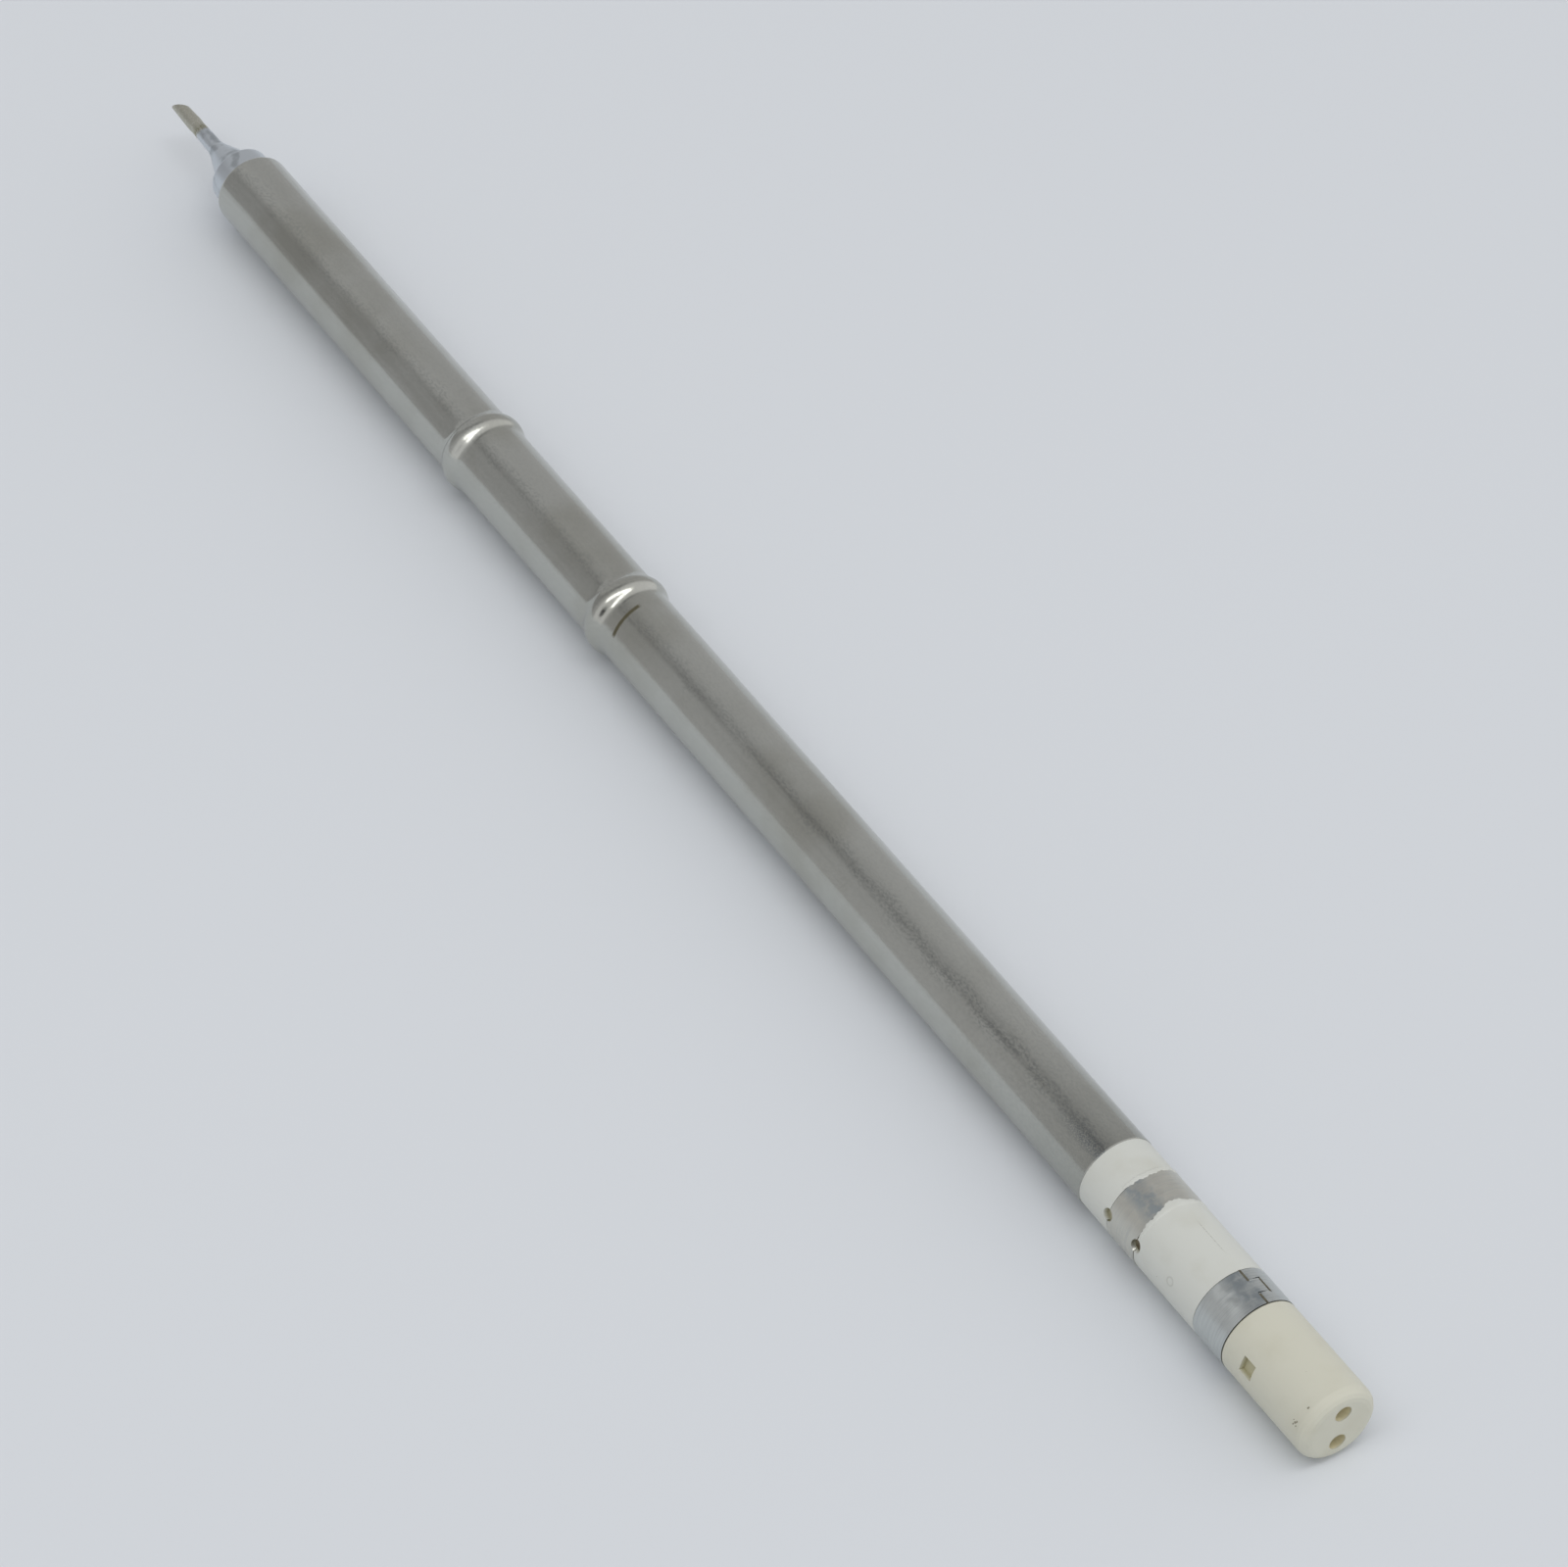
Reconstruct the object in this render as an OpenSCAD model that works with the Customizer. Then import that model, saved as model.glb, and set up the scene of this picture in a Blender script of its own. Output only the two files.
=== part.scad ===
// Cartridge soldering tip: plated bit, steel barrel with the heater inside, contact end.
// The axis of the cartridge is X, the rear end face is at X = 0 and the bit points to +X.
// Angles about the axis are counted from +Z towards +Y.

/* [Barrel] */
// Outer diameter of the steel tube
barrel_d = 5.5; // [5.5:0.1:7]
// Wall of the steel tube
barrel_wall = 0.25; // [0.2:0.05:0.35]
// Length of the steel tube
barrel_len = 110.2; // [100:0.1:130]
// How much wider the tube is between the two beads
mid_swell = 0.12; // [0:0.02:0.3]
// Chamfer on the rear edge of the tube
barrel_chamfer = 0.08; // [0.05:0.01:0.12]
// Height of the two rolled beads above the tube
bead_h = 0.35; // [0.25:0.05:0.6]
// Width of a rolled bead along the tube
bead_w = 2.5; // [2:0.1:3.2]
// Distance from the rear edge of the tube to the crest of the rear bead
rear_bead_x = 57.8; // [45:0.1:60]
// Distance between the crests of the two beads
bead_pitch = 19; // [12:0.1:24]

/* [Bit] */
// Diameter of the bit just behind the bevel
point_d = 0.9; // [0.6:0.05:1.2]
// Diameter of the neck where the flare starts
neck_d = 1.2; // [1:0.05:1.6]
// Length of the point and neck in front of the flare
neck_len = 6; // [4:0.1:10]
// Length of the flare between the neck and the collar
flare_len = 3.35; // [2.5:0.05:5]
// Diameter of the flare where it meets the collar
flare_d = 3.5; // [3:0.1:4]
// Radius of the hollow where the flare leaves the neck
flare_fillet_r = 3; // [2:0.5:4]
// Diameter of the collar that stands out of the tube
collar_d = 4.5; // [4.3:0.05:4.6]
// Length of the collar in front of the tube's lip
collar_len = 1.75; // [1.2:0.05:2.5]
// Rounding of the front edge of the collar
collar_round = 0.3; // [0.1:0.05:0.35]
// Angle between the bevel and the axis
bevel_angle = 42; // [30:1:60]
// Angle about the axis that the bevel faces
bevel_turn = -62; // [-180:1:180]
// Length of the shank inside the tube
shank_len = 14; // [12:0.5:18]
// Depth of solid metal between the heater bore and the shank's shoulder
bore_floor = 2; // [1.5:0.5:3]

/* [Heater] */
// Outer diameter of the ceramic sleeve round the coil
sleeve_d = 3.3; // [3.1:0.05:3.5]
// Wall of the ceramic sleeve
sleeve_wall = 0.35; // [0.3:0.05:0.4]
// Length of the ceramic sleeve that stands out behind the shank
sleeve_tail = 1.5; // [1:0.25:1.75]
// Diameter of the ceramic rod that carries the coil
former_d = 1.6; // [1.5:0.05:1.7]
// Length of that rod that stands out behind the sleeve
former_tail = 1; // [0.75:0.05:1]
// Diameter of the heating wire
coil_wire_d = 0.3; // [0.2:0.05:0.35]
// Number of turns of the heating coil
coil_turns = 14; // [8:1:16]
// Length of the wound stretch
coil_len = 10; // [8:0.5:10.5]
// Radius of the two bends where the wire leaves the coil
coil_bend_r = 0.45; // [0.35:0.05:0.5]
// Length of heating wire that stands out behind the rod
coil_tail = 0.6; // [0.5:0.05:0.7]
// Radius of the sensor bead at the front of the rod
sensor_r = 0.75; // [0.7:0.01:0.78]
// Length of the ceramic bush behind the shank
bush_len = 5; // [4.5:0.5:6]

/* [Leads] */
// Diameter of the two lead wires
lead_d = 0.5; // [0.4:0.05:0.55]
// Distance between the two lead wires
lead_pitch = 2.4; // [2.2:0.05:2.5]
// Angle about the axis of the first lead wire
lead_turn = -6; // [-30:1:30]
// Length over which a lead steps out from the heater to its bore
lead_jog = 1.2; // [1:0.05:1.3]
// Outer diameter of the two-bore insulators
insulator_d = 3.9; // [3.8:0.05:4.2]
// Gap between the ends of neighbouring insulators
insulator_gap = 0.3; // [0.1:0.1:1]

/* [Contact end] */
// How far the white ceramic and the cream cap lie below the tube's surface
ceramic_step = 0.03; // [0.02:0.01:0.08]
// Length of the cream end cap
cap_len = 8.2; // [7:0.1:12]
// Rounding of the rear edge of the cap
cap_round = 0.7; // [0.3:0.05:0.9]
// Depth of the nose of the white ceramic inside the cap
nose_len = 4; // [3:0.5:5]
// Diameter of that nose
nose_d = 4; // [3.8:0.05:4.2]
// Diameter of the two holes in the end face
end_hole_d = 1.16; // [1:0.02:1.2]
// Width of the rear contact ring
rear_ring_w = 3; // [2.5:0.1:4]
// Width of the white ceramic between the rings
ring_space = 6.2; // [5:0.1:8]
// Width of the front contact ring
front_ring_w = 2.9; // [2.5:0.1:4]
// Width of the white ceramic between the front ring and the tube
collar_space = 2.9; // [2:0.1:5]
// Length of the white ceramic inside the tube
spigot_len = 10; // [8:0.5:14]
// Length of the cement plug in front of the white ceramic
plug_len = 2; // [1:0.5:4]
// Thickness of the contact strip
strip_t = 0.22; // [0.18:0.01:0.25]
// How far the contact strip stands above the ceramic
strip_proud = 0.02; // [0:0.01:0.03]
// Angle about the axis of the seam in the rear ring
rear_seam_turn = -10; // [-180:1:180]
// Angle about the axis of the seam in the front ring
front_seam_turn = 220; // [150:1:260]
// Width of the seam's gap
seam_gap = 0.1; // [0.06:0.01:0.12]
// Width of the dovetail at its root
tongue_root_w = 1.05; // [0.8:0.05:1.2]
// Width of the dovetail at its end
tongue_end_w = 1.25; // [1.2:0.05:1.5]
// Length of the dovetail
tongue_len = 0.85; // [0.6:0.05:1]
// Diameter of the wire window beside the front ring
window_d = 0.85; // [0.8:0.05:1]
// Angle about the axis of the wire window
window_turn = 76; // [70:1:82]
// Depth of the shallow pit at the front edge of the front ring
pit_depth = 0.4; // [0.35:0.05:0.5]
// Width of the square pit in the cap
square_pit_w = 1.1; // [0.8:0.1:1.2]
// Depth of the square pit in the cap
square_pit_depth = 0.45; // [0.3:0.05:0.5]
// Distance from the end face to the middle of the square pit
square_pit_x = 5.95; // [4:0.05:6.5]
// Angle about the axis of the square pit
square_pit_turn = 70; // [40:1:110]

/* [Fits] */
// Gap left all round a piece that sits inside another
fit_gap = 0.05; // [0.03:0.01:0.06]
// Gap left round a wire or a bead that lies loose in a bore
loose_gap = 0.1; // [0.08:0.01:0.12]

/* [Hidden] */

turn_fn = 96;
drill_fn = 32;
arc_steps = 4;
coil_sides = 6;
lead_sides = 10;
insulator_count = 3;
cut = 1;

// Stations along the axis
rear_ring_x = cap_len;
middle_x = rear_ring_x + rear_ring_w;
front_ring_x = middle_x + ring_space;
collar_space_x = front_ring_x + front_ring_w;
barrel_x = collar_space_x + collar_space;
spigot_x = barrel_x + spigot_len;
plug_x = spigot_x + plug_len;
lip_x = barrel_x + barrel_len;
collar_x = lip_x + collar_len;
neck_x = collar_x + flare_len;
tip_x = neck_x + neck_len;

// Radii
barrel_r = barrel_d / 2;
barrel_in_r = barrel_r - barrel_wall;
mid_r = barrel_r + mid_swell / 2;
bead_r = barrel_r + bead_h;
collar_r = collar_d / 2;
lip_hole_r = collar_r + fit_gap;
lip_r = barrel_r - lip_hole_r;
lip_in_r = lip_r - barrel_wall;
shank_r = barrel_in_r - fit_gap;
sleeve_r = sleeve_d / 2;
sleeve_in_r = sleeve_r - sleeve_wall;
bit_bore_r = sleeve_r + fit_gap;
former_r = former_d / 2;
lead_r = lead_d / 2;
lead_bore_r = lead_r + loose_gap;
ceramic_r = barrel_r - ceramic_step;
ring_r = ceramic_r + strip_proud;
ring_in_r = ring_r - strip_t;
seat_r = ring_in_r - fit_gap / 2;
nose_r = nose_d / 2;

// The rolled beads
bead_half = bead_w / 2;
bead_x = [barrel_x + rear_bead_x, barrel_x + rear_bead_x + bead_pitch];

// The shank ends behind the inside of the spun lip
shoulder_x = lip_x - lip_r + fit_gap;
shoulder_chamfer = lip_in_r;
shank_x = shoulder_x - shank_len;
bore_x = shoulder_x - bore_floor;

// The heater runs from the bush to the floor of the bore
sleeve_x = shank_x - sleeve_tail;
bush_x = shank_x - fit_gap - bush_len;
bush_bore_r = lead_pitch / 2 + lead_bore_r;
sensor_x = bore_x - sensor_r - loose_gap;
former_front_x = sensor_x - loose_gap;
former_x = sleeve_x - former_tail;
coil_r = former_r + fit_gap / 2 + coil_wire_d / 2;
coil_rise = coil_len / coil_turns;
coil_lead_angle = atan(coil_rise / (2 * PI * coil_r));
coil_bend_turn = coil_bend_r / coil_r * (1 - sin(coil_lead_angle)) * 180 / PI;
coil_bend_x = coil_bend_r * cos(coil_lead_angle);
coil_end_x = former_front_x - loose_gap - coil_bend_x;
coil_x = coil_end_x - coil_len;
coil_tail_x = former_x - coil_tail;
lead_jog_x = coil_tail_x - lead_jog;

// The insulators share the stretch between the plug and the bush
insulator_room = bush_x - plug_x;
insulator_len = (insulator_room - insulator_gap * (insulator_count + 1)) / insulator_count;

// The wires leave their bores through slanted drillings that end at the rings
window_x = front_ring_x - fit_gap;
hidden_window_x = rear_ring_x + rear_ring_w / 2;
window_r = window_d / 2;
wire_end_r = seat_r - lead_r - fit_gap;
weld_top_r = ring_in_r - fit_gap;
window_swing = window_turn - lead_turn;
window_skew = [lead_pitch / 2 * sin(window_swing), ceramic_r - lead_pitch / 2 * cos(window_swing)];
window_tilt = atan(window_skew[0] / window_skew[1]);
window_len = norm(window_skew);
slant_foot = lead_pitch / 2 * [0, -sin(window_swing + window_tilt), cos(window_swing + window_tilt)];

// Points of an arc in the plane of radius and station
function arc(centre, r, from, to, steps = arc_steps) =
    [for (i = [0:steps]) let (a = from + (to - from) * i / steps) centre + r * [cos(a), sin(a)]];

// Height of a rolled bead above its foot: two equal arcs meet half way up its flank
function bead_arc_r(rise) = bead_half / (2 * sin(2 * atan(rise / bead_half)));
function bead_rise(u, rise) =
    let (r = bead_arc_r(rise), x = abs(u) * bead_half)
    x < bead_half / 2 ? rise - r + sqrt(r * r - x * x) : r - sqrt(r * r - pow(bead_half - x, 2));

// Outline of one bead from rear to front, between feet of two radii, set in by a wall
function bead_outline(x, rear_r, front_r, inset) =
    [for (i = [-2 * arc_steps:2 * arc_steps])
        let (u = i / (2 * arc_steps), foot = u < 0 ? rear_r : front_r)
        [foot + bead_rise(u, bead_r - foot) - inset, x + u * bead_half]];

function reversed(list) = [for (i = [len(list) - 1:-1:0]) list[i]];

// Unit vector that points away from the axis at an angle about it
function outward(turn) = [0, sin(turn), cos(turn)];
function around(turn) = [0, cos(turn), -sin(turn)];
function on_axis(x, r, turn) = [x, 0, 0] + r * outward(turn);
function unit(v) = v / norm(v);

// A piece turned about the axis, from points of [radius, station]
module lathe(outline) {
    rotate([0, 90, 0]) rotate_extrude($fn = turn_fn) polygon(outline);
}

// A round rod along the axis, from one station to another, off the axis by a radius at an angle
module rod(from, to, r, off = 0, turn = 0, fn = turn_fn) {
    translate(on_axis(from, off, turn)) rotate([0, 90, 0]) cylinder(h = to - from, r = r, $fn = fn);
}

module pipe(from, to, r, bore_r) {
    difference() {
        rod(from, to, r);
        rod(from - cut, to + cut, bore_r);
    }
}

module at_turn(turn) {
    rotate([-turn, 0, 0]) children();
}

// Both lead bores through a piece
module lead_bores(from, to, r) {
    for (side = [0, 180])
        rod(from - cut, to + cut, r, lead_pitch / 2, lead_turn + side, drill_fn);
}

// A wire swept along a path: each ring of points stands square to the mean of its two legs
function leg(path, i) = unit(path[i + 1] - path[i]);
function heading(path, i) =
    i == 0 ? leg(path, 0) : i == len(path) - 1 ? leg(path, i - 1) : unit(leg(path, i - 1) + leg(path, i));
function square_to(v, t) = unit(v - (v * t) * t);
function normals(path, start, i = 0) =
    let (n = square_to(start, heading(path, i)))
    i == len(path) - 1 ? [n] : concat([n], normals(path, n, i + 1));

module swept_wire(path, r, start, sides) {
    side_normals = normals(path, start);
    points = [for (i = [0:len(path) - 1])
        let (t = heading(path, i), n = side_normals[i], b = cross(t, n),
             stretch = i == 0 || i == len(path) - 1 ? 1 : 1 / max(0.5, heading(path, i) * leg(path, i)))
        for (k = [0:sides - 1]) let (a = 360 * k / sides) path[i] + r * stretch * (cos(a) * n + sin(a) * b)];
    last = (len(path) - 1) * sides;
    faces = concat(
        [[for (k = [0:sides - 1]) k]],
        [for (i = [0:len(path) - 2]) for (k = [0:sides - 1])
            let (a = i * sides + k, b = i * sides + (k + 1) % sides) [b, a, a + sides]],
        [for (i = [0:len(path) - 2]) for (k = [0:sides - 1])
            let (a = i * sides + k, b = i * sides + (k + 1) % sides) [b, a + sides, b + sides]],
        [[for (k = [sides - 1:-1:0]) last + k]]);
    polyhedron(points, faces);
}

// Outline of the flare: a cone that leaves the neck on a hollow curve
flare_slope = atan((flare_d - neck_d) / 2 / flare_len);
flare_tangent = flare_fillet_r * tan(flare_slope / 2);

module soldering_bit() {
    outline = concat(
        [[0, shank_x], [shank_r, shank_x], [shank_r, shoulder_x - shoulder_chamfer],
         [shank_r - shoulder_chamfer, shoulder_x], [collar_r, shoulder_x]],
        arc([collar_r - collar_round, collar_x - collar_round], collar_round, 0, 90),
        [[flare_d / 2, collar_x]],
        reversed(arc([neck_d / 2 + flare_fillet_r, neck_x + flare_tangent], flare_fillet_r,
                     180, 180 + flare_slope)),
        [[point_d / 2, tip_x], [0, tip_x]]);
    color("slategray")
    difference() {
        lathe(outline);
        rod(shank_x - cut, bore_x, bit_bore_r);
        at_turn(bevel_turn) translate([tip_x, 0, -point_d / 2]) rotate([0, bevel_angle, 0])
            translate([-collar_d, -collar_d, 0]) cube(2 * collar_d);
    }
}

module barrel_tube() {
    rear = bead_x[0];
    front = bead_x[1];
    bend_x = lip_x - lip_r;
    outside = concat(
        [[barrel_r - barrel_chamfer, barrel_x], [barrel_r, barrel_x + barrel_chamfer]],
        bead_outline(rear, barrel_r, mid_r, 0),
        bead_outline(front, mid_r, barrel_r, 0),
        arc([lip_hole_r, bend_x], lip_r, 0, 90));
    inside = concat(
        [[barrel_in_r, barrel_x]],
        bead_outline(rear, barrel_r, mid_r, barrel_wall),
        bead_outline(front, mid_r, barrel_r, barrel_wall),
        arc([lip_hole_r, bend_x], lip_in_r, 0, 90));
    color("darkgray") lathe(concat(outside, reversed(inside)));
}

module insulating_sleeve() {
    color("ivory") pipe(sleeve_x, bore_x, sleeve_r, sleeve_in_r);
}

module heater_former() {
    color("white") pipe(former_x, former_front_x, former_r, lead_r + fit_gap);
}

// The path of the heating wire: straight tail, bend, turns, bend and straight tail, all at one radius
coil_turn_0 = lead_turn + coil_bend_turn;
coil_steps = 14;
bend_steps = 4;
function coil_point(x, turn) = on_axis(x, coil_r, turn);
function coil_bend(x, turn, direction) =
    [for (i = [1:bend_steps])
        let (a = coil_lead_angle + (90 - coil_lead_angle) * i / bend_steps,
             along = coil_bend_r * (cos(coil_lead_angle) - cos(a)),
             about = coil_bend_r / coil_r * (sin(a) - sin(coil_lead_angle)) * 180 / PI)
        coil_point(x + direction * along, turn + direction * about)];
coil_path = concat(
    [coil_point(coil_tail_x, lead_turn)],
    reversed(coil_bend(coil_x, coil_turn_0, -1)),
    [for (i = [0:coil_steps * coil_turns])
        coil_point(coil_x + coil_rise * i / coil_steps, coil_turn_0 + 360 * i / coil_steps)],
    coil_bend(coil_end_x, coil_turn_0, 1),
    [coil_point(sensor_x, coil_turn_0 + coil_bend_turn)]);

module heater_coil() {
    color("dimgray") swept_wire(coil_path, coil_wire_d / 2, outward(lead_turn), coil_sides);
}

// A welded bead with a flat back, where the coil and the sensor lead end
module sensor_bead() {
    color("silver")
    intersection() {
        translate(on_axis(sensor_x, coil_r / 2, coil_turn_0 + coil_bend_turn))
            sphere(r = sensor_r, $fn = drill_fn);
        rod(sensor_x, bore_x, sleeve_in_r - fit_gap);
    }
}

module centring_bush() {
    color("ivory")
    difference() {
        rod(bush_x, shank_x - fit_gap, shank_r);
        rod(bush_x - cut, shank_x, bush_bore_r);
        rod(sleeve_x - fit_gap, shank_x, bit_bore_r);
    }
}

// One length of the two-bore insulator, counted from the rear
module lead_insulator(place) {
    from = plug_x + insulator_gap + place * (insulator_len + insulator_gap);
    color("white")
    difference() {
        rod(from, from + insulator_len, insulator_d / 2);
        lead_bores(from, from + insulator_len, lead_bore_r);
    }
}

module insulator_rear() {
    lead_insulator(0);
}

module insulator_middle() {
    lead_insulator(1);
}

module insulator_front() {
    lead_insulator(2);
}

// The slanted drilling from a lead bore to the window above it
function window_start(side) = lead_pitch / 2 * outward(lead_turn + side);
function window_heading(side) = unit(ceramic_r * outward(window_turn + side) - window_start(side));

// Length of a slanted drilling from the middle of its lead bore out to a radius
function window_reach(r) = sqrt(r * r - slant_foot[1] * slant_foot[1]) - slant_foot[2];

module slanted(x, side) {
    at_turn(window_turn + window_tilt + side) translate([x, 0, 0] + slant_foot) children();
}

module window_drill(x, side, to) {
    slanted(x, side) cylinder(h = to, r = window_r, $fn = drill_fn);
}

function lead_path(start, x, side) = concat(
    start,
    [on_axis(lead_jog_x, lead_pitch / 2, lead_turn + side),
     on_axis(x + lead_r, lead_pitch / 2, lead_turn + side),
     on_axis(x, lead_pitch / 2, lead_turn + side) + lead_r * window_heading(side),
     on_axis(x, lead_pitch / 2, lead_turn + side) + window_reach(wire_end_r) * window_heading(side)]);

module heater_lead() {
    start = [on_axis(coil_tail_x, coil_r, lead_turn), on_axis(coil_tail_x - lead_r, coil_r, lead_turn)];
    color("silver") swept_wire(lead_path(start, window_x, 0), lead_r, around(lead_turn), lead_sides);
}

module sensor_lead() {
    start = [[sensor_x, 0, 0], [coil_tail_x, 0, 0]];
    color("silver") swept_wire(lead_path(start, hidden_window_x, 180), lead_r, around(lead_turn), lead_sides);
}

module cement_plug() {
    color("gainsboro")
    difference() {
        rod(spigot_x, plug_x, shank_r);
        lead_bores(spigot_x, plug_x, lead_bore_r);
    }
}

// The white ceramic: nose, ring seat, middle land, ring seat, front land and spigot, as one piece
module contact_carrier() {
    outline = [
        [0, rear_ring_x - nose_len], [nose_r, rear_ring_x - nose_len], [nose_r, rear_ring_x],
        [seat_r, rear_ring_x], [seat_r, middle_x], [ceramic_r, middle_x], [ceramic_r, front_ring_x],
        [seat_r, front_ring_x], [seat_r, collar_space_x], [ceramic_r, collar_space_x],
        [ceramic_r, barrel_x], [shank_r, barrel_x], [shank_r, spigot_x], [0, spigot_x]];
    color("whitesmoke")
    difference() {
        lathe(outline);
        lead_bores(rear_ring_x - nose_len, spigot_x, lead_bore_r);
        window_drill(window_x, 0, window_len + cut);
        window_drill(hidden_window_x, 180, window_len + cut);
        front_pit();
    }
}

// The shallow pit at the front edge of the front ring
module front_pit() {
    at_turn(window_turn) translate([collar_space_x, 0, ceramic_r - pit_depth])
        cylinder(h = pit_depth + cut, r = window_r, $fn = drill_fn);
}

// One end of a contact strip with its dovetail, drawn flat and grown on every side
module strip_end(w, grow, beyond) {
    root = tongue_root_w / 2 + grow;
    end = tongue_end_w / 2 + grow;
    polygon([[-beyond, -beyond], [-beyond, grow], [w / 2 - root, grow],
             [w / 2 - end, tongue_len + grow], [w / 2 + end, tongue_len + grow],
             [w / 2 + root, grow], [w + beyond, grow], [w + beyond, -beyond]]);
}

// The gap where the two ends of a strip interlock
module seam_outline(w) {
    difference() {
        strip_end(w, seam_gap / 2, cut);
        strip_end(w, -seam_gap / 2, 2 * cut);
    }
}

module contact_ring(x, w, seam_turn) {
    difference() {
        pipe(x + fit_gap, x + w - fit_gap, ring_r, ring_in_r);
        at_turn(seam_turn) translate([x, 0, 0]) linear_extrude(height = barrel_d) mirror([0, 1, 0])
            seam_outline(w);
    }
}

module rear_contact_ring() {
    color("lightsteelblue") contact_ring(rear_ring_x, rear_ring_w, rear_seam_turn);
}

module front_contact_ring() {
    color("silver")
    difference() {
        contact_ring(front_ring_x, front_ring_w, front_seam_turn);
        window_drill(window_x, 0, window_len + cut);
        front_pit();
    }
}

// The weld that joins a wire's end to its ring
module ring_weld(x, side, r, top_r) {
    foot = window_reach(wire_end_r);
    intersection() {
        slanted(x, side) translate([0, 0, foot]) cylinder(h = ceramic_r, r = r, $fn = drill_fn);
        rod(x - window_d, x + window_d, top_r);
    }
}

module front_ring_weld() {
    color("tan") ring_weld(window_x, 0, window_r - fit_gap, weld_top_r);
}

module rear_ring_weld() {
    color("tan") ring_weld(hidden_window_x, 180, window_r - fit_gap, ring_in_r);
}

module end_cap() {
    outline = concat(
        [[0, 0]],
        reversed(arc([ceramic_r - cap_round, cap_round], cap_round, 0, -90)),
        [[ceramic_r, cap_len - fit_gap], [0, cap_len - fit_gap]]);
    color("cornsilk")
    difference() {
        lathe(outline);
        rod(cap_len - nose_len - fit_gap, cap_len + cut, nose_r + fit_gap);
        for (side = [0, 180])
            rod(-cut, cap_len, end_hole_d / 2, lead_pitch / 2, lead_turn + side, drill_fn);
        at_turn(square_pit_turn) translate([square_pit_x, 0, ceramic_r - square_pit_depth + cut])
            cube([square_pit_w, square_pit_w, 2 * cut], center = true);
    }
}

soldering_bit();
barrel_tube();
insulating_sleeve();
heater_former();
heater_coil();
sensor_bead();
centring_bush();
insulator_front();
insulator_middle();
insulator_rear();
heater_lead();
sensor_lead();
cement_plug();
contact_carrier();
front_contact_ring();
rear_contact_ring();
front_ring_weld();
rear_ring_weld();
end_cap();
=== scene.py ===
"""Cartridge soldering tip lying on a pale bench top, seen from its contact end.

Every length in the classes is in millimetres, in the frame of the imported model: the rear end
face stands at X = 0, the bit points to +X and angles about the axis run from +Z towards +Y.
"""

import logging
import math
import random
from dataclasses import dataclass
from enum import Enum

import bmesh
import bpy
from mathutils import Matrix, Vector

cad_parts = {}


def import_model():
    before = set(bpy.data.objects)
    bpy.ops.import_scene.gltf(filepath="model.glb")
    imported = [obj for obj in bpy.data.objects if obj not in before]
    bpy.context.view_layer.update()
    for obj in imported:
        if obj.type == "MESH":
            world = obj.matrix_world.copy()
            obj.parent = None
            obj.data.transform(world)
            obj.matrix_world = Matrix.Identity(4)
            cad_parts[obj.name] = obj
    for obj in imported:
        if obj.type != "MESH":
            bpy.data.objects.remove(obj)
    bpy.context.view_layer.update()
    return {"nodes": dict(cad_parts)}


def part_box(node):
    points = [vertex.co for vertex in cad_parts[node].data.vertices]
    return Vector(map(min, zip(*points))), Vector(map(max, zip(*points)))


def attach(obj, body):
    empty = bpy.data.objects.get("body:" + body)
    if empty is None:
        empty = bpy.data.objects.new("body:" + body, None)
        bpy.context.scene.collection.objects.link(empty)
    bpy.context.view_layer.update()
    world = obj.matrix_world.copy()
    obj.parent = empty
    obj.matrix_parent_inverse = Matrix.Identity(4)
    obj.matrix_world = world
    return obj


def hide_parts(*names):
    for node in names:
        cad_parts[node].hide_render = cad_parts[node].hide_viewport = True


MM = 0.001
SHARP_ANGLE = 32.0
LOG = logging.getLogger("soldering_tip")


class Slot(Enum):
    """Material slot names that are passed along with the new pieces."""

    BIT = "plated_bit"
    BARREL = "steel_barrel"
    WHITE = "white_ceramic"
    CREAM = "cream_ceramic"
    COIL = "heating_wire"


def linear(hex_colour: str, strength: float = 1.0) -> tuple[float, float, float, float]:
    """Turns an sRGB hex value into the linear colour that shaders take.

    Args:
        hex_colour: Six hex digits after a hash sign.
        strength: Factor on the linear colour, for light that is dimmer or brighter.

    Returns:
        Red, green, blue and an alpha of one.
    """
    channels = [int(hex_colour[i:i + 2], 16) / 255 for i in (1, 3, 5)]
    return (*[strength * (c / 12.92 if c <= 0.04045 else ((c + 0.055) / 1.055) ** 2.4)
              for c in channels], 1.0)


def add_node(tree: bpy.types.NodeTree, kind: str, settings: dict | None = None,
             links: dict | None = None) -> bpy.types.Node:
    """Adds one node with its settings and links.

    Args:
        tree: The node tree that takes the node.
        kind: The node's type name.
        settings: The node's own properties by name, and input values by name or index.
        links: Output sockets by input name or index.

    Returns:
        The new node.
    """
    node = tree.nodes.new(kind)
    for key, value in (settings or {}).items():
        if isinstance(key, str) and hasattr(node, key):
            setattr(node, key, value)
        else:
            node.inputs[key].default_value = value
    for key, socket in (links or {}).items():
        tree.links.new(socket, node.inputs[key])
    return node


def outward(turn: float) -> Vector:
    """Unit vector away from the axis, at an angle about it in degrees."""
    angle = math.radians(turn)
    return Vector((0.0, math.sin(angle), math.cos(angle)))


def on_round(station: float, radius: float, turn: float) -> Vector:
    """Point in metres at a station, a radius and an angle about the axis."""
    return (Vector((station, 0, 0)) + radius * outward(turn)) * MM


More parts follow.
